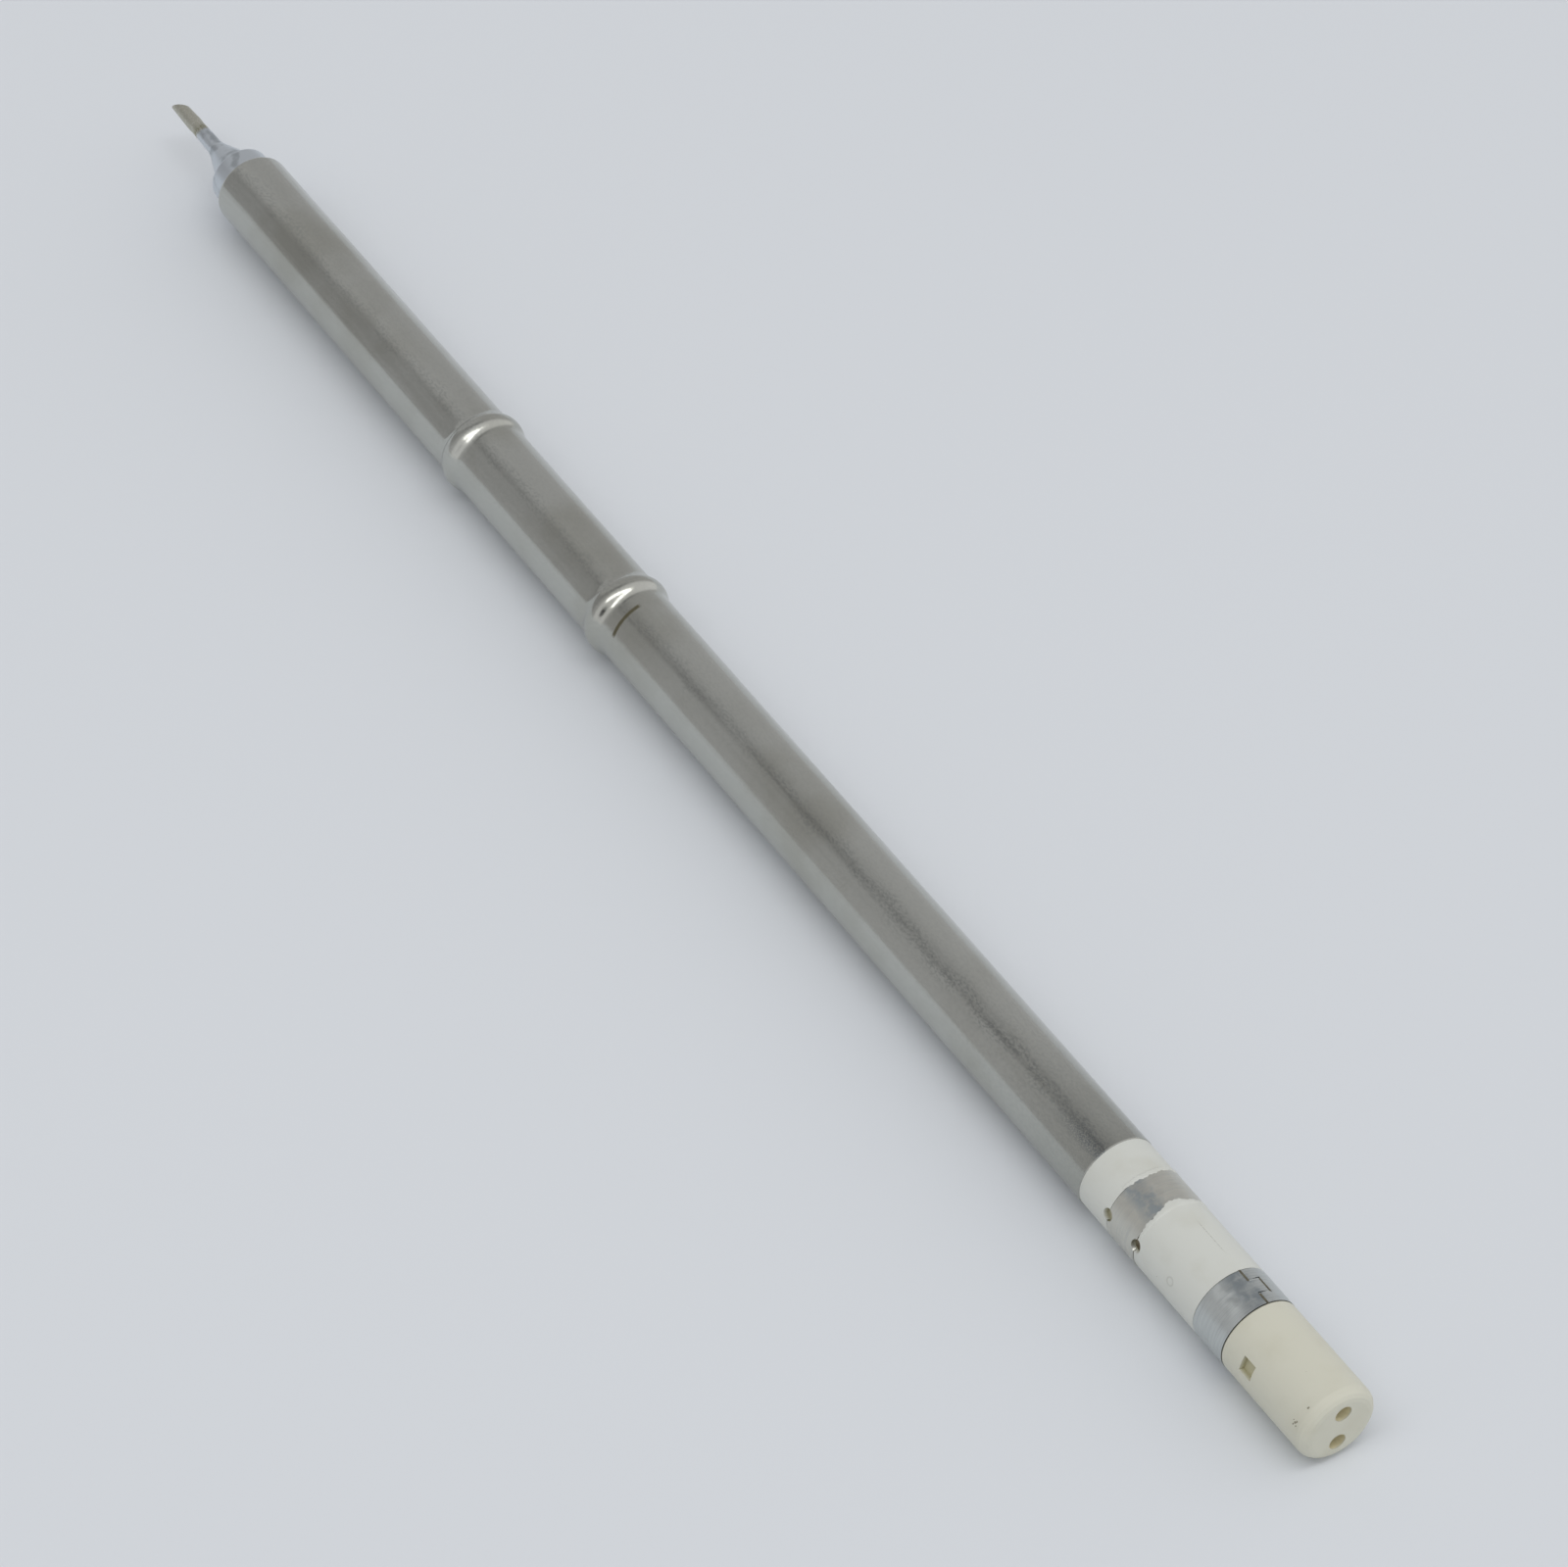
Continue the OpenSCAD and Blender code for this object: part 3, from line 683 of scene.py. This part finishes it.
@dataclass
class Barrel:
    """The steel tube with two rolled beads and a lip that is spun in round the bit."""

    rear_x: float
    lip_x: float
    radius: float = 2.75
    wall: float = 0.25
    mid_radius: float = 2.81
    crest_radius: float = 3.1
    bead_half: float = 1.25
    rear_bead: float = 57.8
    bead_pitch: float = 19.0
    hole_radius: float = 2.3
    chamfer: float = 0.08
    segments: int = 192
    bead_steps: int = 40
    lip_steps: int = 12

    def bead_rise(self, offset: float, rise: float) -> float:
        """Height of a bead over its foot: two equal arcs meet half way up the flank.

        Args:
            offset: Distance from the crest along the tube.
            rise: Height of the crest over the foot.

        Returns:
            Height over the foot.
        """
        bend = self.bead_half / (2 * math.sin(2 * math.atan(rise / self.bead_half)))
        away = abs(offset)
        if away < self.bead_half / 2:
            return rise - bend + math.sqrt(bend ** 2 - away ** 2)
        return bend - math.sqrt(bend ** 2 - (self.bead_half - away) ** 2)

    def bead(self, middle: float, rear_foot: float, front_foot: float, inset: float,
             steps: int) -> list[tuple[float, float]]:
        """Outline of one bead from rear to front.

        Args:
            middle: Station of the crest.
            rear_foot: Radius of the tube behind it.
            front_foot: Radius of the tube in front of it.
            inset: Depth below the outer surface.
            steps: Number of equal steps.

        Returns:
            Pairs of station and radius.
        """
        points = []
        for i in range(steps + 1):
            offset = self.bead_half * (2 * i / steps - 1)
            foot = rear_foot if offset < 0 else front_foot
            rise = self.bead_rise(offset, self.crest_radius - foot)
            points.append((middle + offset, foot + rise - inset))
        return points

    def side(self, inset: float, steps: int) -> list[tuple[float, float]]:
        """Outline of one side of the wall, from the first bead to the lip's edge."""
        first = self.rear_x + self.rear_bead
        lip_bend = self.radius - self.hole_radius
        return [*self.bead(first, self.radius, self.mid_radius, inset, steps),
                *self.bead(first + self.bead_pitch, self.mid_radius, self.radius, inset, steps),
                *arc((self.lip_x - lip_bend, self.hole_radius), lip_bend - inset, 90, 0, self.lip_steps)]

    def build(self) -> None:
        """Builds and dresses the tube."""
        outside = [(self.rear_x, self.radius - self.chamfer), (self.rear_x + self.chamfer, self.radius),
                   *self.side(0, self.bead_steps)]
        inside = [(self.rear_x, self.radius - self.wall), *self.side(self.wall, self.bead_steps // 4)]
        shape = lathe([*outside, *reversed(inside)], self.segments, True)
        piece = place_mesh("barrel", to_mesh(shape, "barrel"), SatinStainless("satin_stainless_steel").build())
        hand_over(piece, Slot.BARREL, "barrel_tube")


@dataclass
class Bit:
    """The plated bit: point with a slanted cut, neck, flare, collar and shank."""

    rear_x: float
    tip_x: float
    shank_radius: float = 2.45
    shoulder_x: float = 133.0
    shoulder_chamfer: float = 0.2
    bore_radius: float = 1.7
    bore_x: float = 131.0
    collar_radius: float = 2.25
    collar_x: float = 135.15
    collar_round: float = 0.3
    flare_radius: float = 1.75
    neck_x: float = 138.5
    neck_radius: float = 0.6
    fillet: float = 3.0
    point_radius: float = 0.45
    bevel_angle: float = 42.0
    bevel_turn: float = -62.0
    film_len: float = 3.2
    film: float = 0.05
    segments: int = 96

    def outline(self) -> list[tuple[float, float]]:
        """Outline from the bore's floor round the shank to the point, with the solder film."""
        slope = math.atan((self.flare_radius - self.neck_radius) / (self.neck_x - self.collar_x))
        bend = self.fillet * math.tan(slope / 2)
        film_x = self.tip_x - self.film_len
        points = [(self.bore_x, 0), (self.bore_x, self.bore_radius), (self.rear_x, self.bore_radius),
                  (self.rear_x, self.shank_radius),
                  (self.shoulder_x - self.shoulder_chamfer, self.shank_radius),
                  (self.shoulder_x, self.shank_radius - self.shoulder_chamfer),
                  (self.shoulder_x, self.collar_radius)]
        points += arc((self.collar_x - self.collar_round, self.collar_radius - self.collar_round),
                      self.collar_round, 90, 0, 8)
        points.append((self.collar_x, self.flare_radius))
        points += arc((self.neck_x + bend, self.neck_radius + self.fillet), self.fillet,
                      270 - math.degrees(slope), 270, 16)
        taper = (self.neck_radius - self.point_radius) / (self.tip_x - self.neck_x - bend)
        for i in range(17):
            along = i / 16
            x = film_x + along * self.film_len
            bare = self.neck_radius - taper * (x - self.neck_x - bend)
            points.append((x, bare + self.film * min(1.0, 6 * along) * (1 - 0.5 * along)))
        points.append((self.tip_x, 0))
        return points

    def build(self) -> None:
        """Builds and dresses the bit."""
        shape = lathe(self.outline(), self.segments, False)
        tilt = math.radians(self.bevel_angle)
        facing = outward(self.bevel_turn) * math.cos(tilt) + Vector((math.sin(tilt), 0, 0))
        heel = on_round(self.tip_x, -self.point_radius, self.bevel_turn)
        cut = bmesh.ops.bisect_plane(shape, geom=[*shape.verts, *shape.edges, *shape.faces],
                                     plane_co=heel, plane_no=facing, clear_outer=True)
        rim = [part for part in cut["geom_cut"] if isinstance(part, bmesh.types.BMEdge)]
        bmesh.ops.holes_fill(shape, edges=rim)
        bmesh.ops.recalc_face_normals(shape, faces=shape.faces)
        piece = place_mesh("bit", to_mesh(shape, "bit"), PlatedBit("chromium_plated_bit").build())
        hand_over(piece, Slot.BIT, "soldering_bit")


@dataclass
class Heater:
    """The heating coil on its rod, inside the bit. The wire has a straight tail at each end."""

    rear_x: float
    front_x: float
    former_radius: float = 0.8
    wire_radius: float = 0.15
    rod_gap: float = 0.025
    end_gap: float = 0.2
    turns: int = 14
    coil_len: float = 10.0
    bend_radius: float = 0.45
    lead_turn: float = -6.0
    steps: int = 32
    bend_steps: int = 10
    sides: int = 12

    def bend(self, station: float, turn: float, direction: int, slope: float,
             radius: float) -> list[Vector]:
        """Bend from the coil's turn into the line of the axis.

        Args:
            station: Where the turns end.
            turn: Angle about the axis there.
            direction: One at the front end and minus one at the rear end.
            slope: Lead angle of the turns in radians.
            radius: Radius of the wire's middle about the axis.

        Returns:
            Points in metres, away from the turns.
        """
        points = []
        for i in range(1, self.bend_steps + 1):
            angle = slope + (math.pi / 2 - slope) * i / self.bend_steps
            along = self.bend_radius * (math.cos(slope) - math.cos(angle))
            about = math.degrees(self.bend_radius / radius * (math.sin(angle) - math.sin(slope)))
            points.append(on_round(station + direction * along, radius, turn + direction * about))
        return points

    def path(self) -> list[Vector]:
        """Tail, bend, turns, bend and tail of the wire, in metres."""
        radius = self.former_radius + self.rod_gap + self.wire_radius
        rise = self.coil_len / self.turns
        slope = math.atan(rise / (math.tau * radius))
        swing = math.degrees(self.bend_radius / radius * (1 - math.sin(slope)))
        end_x = self.front_x - self.end_gap - self.bend_radius * math.cos(slope)
        start_x = end_x - self.coil_len
        start_turn = self.lead_turn + swing
        turns = [on_round(start_x + rise * i / self.steps, radius, start_turn + 360 * i / self.steps)
                 for i in range(self.turns * self.steps + 1)]
        return [on_round(self.rear_x, radius, self.lead_turn),
                *reversed(self.bend(start_x, start_turn, -1, slope, radius)), *turns,
                *self.bend(end_x, start_turn, 1, slope, radius),
                on_round(self.front_x, radius, start_turn + swing)]

    def build(self) -> None:
        """Sweeps and dresses the wire."""
        curve = bpy.data.curves.new("coil_path", "CURVE")
        curve.dimensions = "3D"
        points = self.path()
        spline = curve.splines.new("POLY")
        spline.points.add(len(points) - 1)
        for point, place in zip(spline.points, points):
            point.co = (*place, 1)
        source = bpy.data.objects.new("coil_path", curve)
        bpy.context.scene.collection.objects.link(source)
        wire = PlainMetal("oxidised_resistance_wire", "#6C6A66", "#4F4D49").build()
        mesh = SweptWire().run(source, {"Radius": self.wire_radius * MM, "Sides": self.sides, "Finish": wire})
        hand_over(place_mesh("heating_coil", mesh, wire), Slot.COIL, "heater_coil")


@dataclass
class ContactEnd:
    """White ceramic with its two metal rings, and the cream cap, with the dirt on them."""

    nodes: dict
    ceramic_radius: float = 2.72
    ring_radius: float = 2.74
    front_ring_x: float = 17.4
    smear_thickness: float = 0.03
    rear_lap: tuple[float, float] = (-62.0, 61.0)
    front_lap: tuple[float, float] = (-70.0, 34.0)
    front_land_x: float = 20.3
    speck_thickness: float = 0.008
    seam_half: float = 0.055
    seam_stations: tuple[float, float, float, float] = (8.2, 9.07, 10.22, 11.2)
    seam_turns: tuple[float, float] = (-9.7, -27.4)
    seed: int = 4

    def dress(self, names: tuple[str, ...], material: bpy.types.Material) -> None:
        """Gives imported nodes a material.

        Args:
            names: Which nodes to dress.
            material: The material.
        """
        for name in names:
            for slot in self.nodes[name].material_slots:
                slot.material = material
            LOG.info("dressed %s with %s", name, material.name)

    def smear_reach(self, turn: float, bulge: float) -> float:
        """How far the ragged lap of cement reaches over the front ring at an angle."""
        swell = bulge * math.exp(-((turn + 2) / 17) ** 2)
        ripple = 0.035 * math.sin(turn * 0.35) + 0.025 * math.sin(turn * 0.9 + 1.3)
        return 0.07 + swell + ripple

    def build_smear(self, name: str, material: bpy.types.Material, base: float, way: int,
                    turns: tuple[float, float], bulge: float) -> None:
        """Builds one thin lap of cement as a closed strip with a rounded edge.

        Args:
            name: Name of the piece.
            material: Its finish.
            base: Station of the ring's edge that it laps over.
            way: One where it reaches towards the bit, and minus one where it reaches back.
            turns: Its two ends about the axis.
            bulge: Reach of its widest part.
        """
        across, steps, root = 6, 132, 0.25
        shape = bmesh.new()
        top, bottom = [], []
        for i in range(steps + 1):
            turn = turns[0] + (turns[1] - turns[0]) * i / steps
            fade = min(1.0, 8 * i / steps, 8 * (1 - i / steps))
            reach = self.smear_reach(turn, bulge) * fade
            row = []
            for j in range(across + 1):
                along = math.sin(math.radians(90 * j / across))
                x = base + way * ((reach + root) * along - root)
                lift = self.smear_thickness * fade * math.sqrt(max(0.0, 1 - along ** 2))
                skin = self.ceramic_radius - 0.01 if j == 0 else self.ring_radius + 0.001
                row.append(shape.verts.new(on_round(x, skin + (lift if j else 0.0), turn)))
            top.append(row)
            bottom.append([shape.verts.new(on_round(x, self.ring_radius - 0.04, turn))
                           for x in (base - way * root, base + way * reach)])
        for i in range(steps):
            for j in range(across):
                shape.faces.new((top[i][j], top[i][j + 1], top[i + 1][j + 1], top[i + 1][j]))
            shape.faces.new((bottom[i][0], bottom[i + 1][0], bottom[i + 1][1], bottom[i][1]))
            shape.faces.new((top[i][0], top[i + 1][0], bottom[i + 1][0], bottom[i][0]))
            shape.faces.new((top[i][-1], bottom[i][1], bottom[i + 1][1], top[i + 1][-1]))
        shape.faces.new([*top[0], bottom[0][1], bottom[0][0]])
        shape.faces.new([*reversed(top[-1]), bottom[-1][0], bottom[-1][1]])
        bmesh.ops.recalc_face_normals(shape, faces=shape.faces)
        hand_over(place_mesh(name, to_mesh(shape, name), material), Slot.WHITE)

    def build_seam(self) -> None:
        """Fills the rear strip's seam: in its runs round the strip, matt patches of the strip's light tone are
        painted sheen; the others hold dark dirt.
        """
        half = self.seam_half
        rear_end, rear_run, front_run, front_end = self.seam_stations
        near, far = self.seam_turns
        swing = math.degrees(1.4 * half / self.ring_radius)
        # Painted sheen: matt light patches stand for the bright metal in the runs round the strip
        painted_sheen_runs = [(x - half, x + half, far, near) for x in (rear_run, front_run)]
        joint = [(rear_end - half, rear_end, -179, 179)]
        dark = [(rear_end, rear_run, near - swing, near + swing),
                (rear_run, front_run, far - swing, far + swing),
                (front_run, front_end, near - swing, near + swing)]
        for name, patches, colours, top in (("painted_seam_sheen", painted_sheen_runs, ("#B4B8B6", "#A6AAA8"), -0.004),
                                            ("seam_dirt", dark, ("#4A463A", "#66624F"), 0.003),
                                            ("joint_dirt", joint, ("#7C7A6C", "#9B998C"), -0.03)):
            shape = bmesh.new()
            for low, high, start, end in patches:
                self.add_patch(shape, (low, high), (start, end), self.ring_radius + top)
            bmesh.ops.recalc_face_normals(shape, faces=shape.faces)
            hand_over(place_mesh(name, to_mesh(shape, name), Dirt(name, *colours).build()), Slot.WHITE)

    def add_patch(self, shape: bmesh.types.BMesh, stations: tuple[float, float],
                  turns: tuple[float, float], top: float) -> None:
        """Adds one curved block that follows the round surface.

        Args:
            shape: The edit mesh that takes it.
            stations: Its two ends along the axis.
            turns: Its two ends about the axis.
            top: Radius of its outer face.
        """
        steps = max(8, round(abs(turns[1] - turns[0]) / 3))
        rows = []
        for i in range(steps + 1):
            turn = turns[0] + (turns[1] - turns[0]) * i / steps
            rows.append([shape.verts.new(on_round(x, r, turn))
                         for x, r in ((stations[0], top - 0.1), (stations[1], top - 0.1),
                                      (stations[1], top), (stations[0], top))])
        for first, second in zip(rows, rows[1:]):
            for j in range(4):
                shape.faces.new((first[j], first[(j + 1) % 4], second[(j + 1) % 4], second[j]))
        shape.faces.new(rows[0])
        shape.faces.new(list(reversed(rows[-1])))

    def build_specks(self) -> None:
        """Scatters dirt: the specks at the cap's edge and a few small ones over the ceramic."""
        chance = random.Random(self.seed)
        places = [(0.93, 41.0, 0.095), (1.1, 68.0, 0.11), (1.0, 65.0, 0.07), (1.2, 72.0, 0.075),
                  (0.96, 71.5, 0.06), (1.28, 66.5, 0.05)]
        for low, high, count in ((1.4, 7.8, 4), (11.6, 17.0, 4), (20.8, 22.9, 1)):
            places += [(chance.uniform(low, high), chance.uniform(-180, 180), chance.uniform(0.015, 0.03))
                       for _ in range(count)]
        mesh = bpy.data.meshes.new("speck_places")
        mesh.from_pydata([on_round(x, self.ceramic_radius, turn) for x, turn, _ in places], [], [])
        sizes = mesh.attributes.new("size", "FLOAT", "POINT")
        sizes.data.foreach_set("value", [size * MM for _, _, size in places])
        source = bpy.data.objects.new("speck_places", mesh)
        bpy.context.scene.collection.objects.link(source)
        dirt = Dirt("dry_dirt").build()
        flakes = Specks().run(source, {"Seed": self.seed, "Thickness": self.speck_thickness * MM,
                                       "Finish": dirt})
        hand_over(place_mesh("dirt_specks", flakes, dirt), Slot.CREAM)

    def build(self) -> None:
        """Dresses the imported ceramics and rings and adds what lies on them."""
        white = FiredCeramic("white_fired_ceramic").build()
        self.dress(("contact_carrier",), white)
        self.dress(("end_cap",), FiredCeramic("cream_fired_ceramic", "#CECDBD", "#C0BDA8", "#BEBA9C").build())
        self.dress(("front_contact_ring",), ContactStrip("worn_front_strip").build())
        rear = ContactStrip("worn_rear_strip", "#C6CAC8", "#939A9D", 2.0, 16.0, 0.3)
        self.dress(("rear_contact_ring",), rear.build())
        inner = FiredCeramic("inner_alumina", "#D8D6CC", "#C8C4B8", "#D8D6CC").build()
        self.dress(("insulating_sleeve", "heater_former", "centring_bush", "insulator_front",
                    "insulator_middle", "insulator_rear", "cement_plug"), inner)
        self.dress(("heater_lead", "sensor_lead"), PlainMetal("nickel_wire").build())
        self.dress(("sensor_bead", "front_ring_weld", "rear_ring_weld"),
                   PlainMetal("weld_metal", "#8F8570", "#5E5340", 0.3).build())
        self.build_smear("cement_lap", white, self.front_ring_x, 1, self.rear_lap, 0.34)
        self.build_smear("front_cement_lap", white, self.front_land_x, -1, self.front_lap, 0.12)
        self.build_seam()
        self.build_specks()


@dataclass
class Studio:
    """The bench top, the lamps, the room and the camera."""

    floor_colour: str = "#DADEE2"
    floor_half: float = 1500.0
    rear_rest_r: float = 2.72
    bead_rest_x: float = 81.0
    bead_rest_r: float = 3.1
    focal_px: float = 6181.7
    image_px: float = 1600.0
    sensor_mm: float = 36.0
    camera_place: tuple[float, float, float] = (-171.78, 145.30, 276.64)
    camera_heading: tuple[float, float, float] = (0.59902, -0.37341, -0.70833)
    middle: tuple[float, float, float] = (75.0, 0.0, 0.0)
    softbox_heading: tuple[float, float, float] = (-0.14, 0.17, 0.95)
    softbox_lie: tuple[float, float, float] = (0.45, 1.2, -0.2)
    softbox_distance: float = 900.0
    softbox_length: float = 1170.0
    softbox_width: float = 230.0
    softbox_radiance: float = 2.6
    air_colour: str = "#FDFDFF"
    far_levels: tuple = ((-90, 0.56), (-60, 0.52), (-35, 0.52), (-15, 0.47), (0, 0.41), (14, 0.32),
                         (25, 0.235), (34, 0.39), (44, 0.50), (54, 0.42), (66, 0.5), (90, 0.48))
    front_levels: tuple = ((-90, 0.50), (-60, 0.48), (-35, 0.50), (-15, 0.54), (-4, 0.52), (8, 0.42),
                           (17, 0.30), (24, 0.35), (60, 0.37), (90, 0.40))
    near_levels: tuple = ((-90, 0.95), (0, 0.80), (90, 0.80))
    far_lean: float = 144.0
    far_middle: float = 0.6
    near_edge: float = 0.2
    far_edge: float = 0.42
    card_heading: tuple[float, float, float] = (-0.382, 0.84, 0.385)
    card_outer: float = 17.0
    card_inner: float = 11.0
    card_level: float = 0.05

    def floor_height(self, station: float) -> float:
        """Height of the bench top under a station."""
        slope = (self.bead_rest_r - self.rear_rest_r) / self.bead_rest_x
        return -self.rear_rest_r - slope * station

    def build_floor(self) -> None:
        """Makes the bench top, which touches the rear bead and the end of the cap."""
        side = self.floor_half
        mesh = bpy.data.meshes.new("bench_top")
        mesh.from_pydata([Vector((x, y, self.floor_height(x))) * MM
                          for x, y in ((-side, -side), (side, -side), (side, side), (-side, side))],
                         [], [(0, 1, 2, 3)])
        material = bpy.data.materials.new("painted_bench_top")
        material.use_nodes = True
        shader = material.node_tree.nodes["Principled BSDF"]
        shader.inputs["Base Color"].default_value = linear(self.floor_colour)
        shader.inputs["Roughness"].default_value = 0.7
        mesh.materials.append(material)
        floor = bpy.data.objects.new("bench_top", mesh)
        bpy.context.scene.collection.objects.link(floor)

    def add_softbox(self) -> None:
        """Hangs the one lamp: a long softbox across the part, whose face looks at its middle."""
        lamp = bpy.data.lights.new("softbox", "AREA")
        lamp.shape = "RECTANGLE"
        lamp.size, lamp.size_y = self.softbox_width * MM, self.softbox_length * MM
        lamp.energy = self.softbox_radiance * math.pi * lamp.size * lamp.size_y
        holder = bpy.data.objects.new("softbox", lamp)
        away = Vector(self.softbox_heading).normalized()
        along = Vector(self.softbox_lie)
        along = (along - along.dot(away) * away).normalized()
        across = along.cross(away)
        holder.location = (Vector(self.middle) + self.softbox_distance * away) * MM
        holder.rotation_euler = Matrix((across, along, away)).transposed().to_euler()
        bpy.context.scene.collection.objects.link(holder)

    def ramp(self, tree: bpy.types.NodeTree, angle: bpy.types.NodeSocket,
             stops: tuple[tuple[float, float], ...]) -> bpy.types.NodeSocket:
        """Light level by the angle from the zenith towards +Y.

        Args:
            tree: The world's tree.
            angle: The angle in degrees.
            stops: Pairs of angle and level, from -90 to 90 degrees.

        Returns:
            The colour of the light.
        """
        level = add_node(tree, "ShaderNodeMapRange", {"From Min": -90.0, "From Max": 90.0}, {"Value": angle})
        ramp = add_node(tree, "ShaderNodeValToRGB", links={0: level.outputs[0]})
        elements = ramp.color_ramp.elements
        elements[0].color = linear(self.air_colour, stops[0][1])
        elements[1].color = linear(self.air_colour, stops[-1][1])
        for turn, strength in stops[1:-1]:
            elements.new((turn + 90) / 180).color = linear(self.air_colour, strength)
        return ramp.outputs[0]

    def build_room(self) -> None:
        """Makes the room: bright behind the camera, dimmer where the tube mirrors it."""
        world = bpy.data.worlds.new("room")
        world.use_nodes = True
        tree = world.node_tree
        coords = add_node(tree, "ShaderNodeTexCoord")
        way = coords.outputs["Generated"]
        axes = add_node(tree, "ShaderNodeSeparateXYZ", links={0: way})
        turn = add_node(tree, "ShaderNodeMath", {"operation": "ARCTAN2"},
                        {0: axes.outputs[1], 1: axes.outputs[2]})
        angle = add_node(tree, "ShaderNodeMath", {"operation": "DEGREES"}, {0: turn.outputs[0]})
        lean = add_node(tree, "ShaderNodeMath", {"operation": "MULTIPLY_ADD", 1: -self.far_lean,
                                                 2: self.far_lean * self.far_middle},
                        {0: axes.outputs[0]})
        leant = add_node(tree, "ShaderNodeMath", {"operation": "ADD"}, {0: angle.outputs[0], 1: lean.outputs[0]})
        far = self.ramp(tree, leant.outputs[0], self.far_levels)
        near = self.ramp(tree, angle.outputs[0], self.near_levels)
        part = add_node(tree, "ShaderNodeMapRange",
                        {"interpolation_type": "SMOOTHSTEP", "From Min": self.near_edge,
                         "From Max": self.far_edge}, {"Value": axes.outputs[0]})
        front = self.ramp(tree, leant.outputs[0], self.front_levels)
        ahead = add_node(tree, "ShaderNodeMapRange",
                         {"interpolation_type": "SMOOTHSTEP", "From Min": self.far_middle - 0.03,
                          "From Max": self.far_middle + 0.07}, {"Value": axes.outputs[0]})
        back_half = add_node(tree, "ShaderNodeMix", {"data_type": "RGBA"}, {0: ahead.outputs[0], 6: far, 7: front})
        room = add_node(tree, "ShaderNodeMix", {"data_type": "RGBA"},
                        {0: part.outputs[0], 6: near, 7: back_half.outputs[2]})
        close = add_node(tree, "ShaderNodeVectorMath", {"operation": "DOT_PRODUCT", 1: self.card_heading},
                         {0: way})
        card = add_node(tree, "ShaderNodeMapRange",
                        {"interpolation_type": "SMOOTHSTEP",
                         "From Min": math.cos(math.radians(self.card_outer)),
                         "From Max": math.cos(math.radians(self.card_inner)),
                         "To Min": 1.0, "To Max": self.card_level}, {"Value": close.outputs["Value"]})
        back = tree.nodes["Background"]
        tree.links.new(room.outputs[2], back.inputs["Color"])
        tree.links.new(card.outputs[0], back.inputs["Strength"])
        bpy.context.scene.world = world

    def build_camera(self) -> None:
        """Sets the camera where the photograph was taken from."""
        data = bpy.data.cameras.new("photograph")
        data.sensor_width = self.sensor_mm
        data.lens = self.focal_px / self.image_px * self.sensor_mm
        data.clip_start = 10 * MM
        camera = bpy.data.objects.new("photograph", data)
        camera.location = Vector(self.camera_place) * MM
        camera.rotation_euler = Vector(self.camera_heading).to_track_quat("-Z", "Y").to_euler()
        bpy.context.scene.collection.objects.link(camera)
        bpy.context.scene.camera = camera

    def build(self) -> None:
        """Builds the whole set."""
        self.build_camera()
        self.build_floor()
        self.add_softbox()
        self.build_room()
        bpy.context.scene.view_settings.view_transform = "Standard"


def main() -> None:
    """Builds the set, then each sub-assembly in order from the bit to the contact end."""
    logging.basicConfig(level=logging.INFO)
    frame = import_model()
    Studio().build()
    bit_low, bit_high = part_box("soldering_bit")
    tube_low, tube_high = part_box("barrel_tube")
    coil_low, coil_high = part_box("heater_coil")
    Bit(bit_low[0] / MM, bit_high[0] / MM).build()
    Barrel(tube_low[0] / MM, tube_high[0] / MM).build()
    Heater(coil_low[0] / MM, coil_high[0] / MM).build()
    ContactEnd(frame["nodes"]).build()


if __name__ == "__main__":
    main()
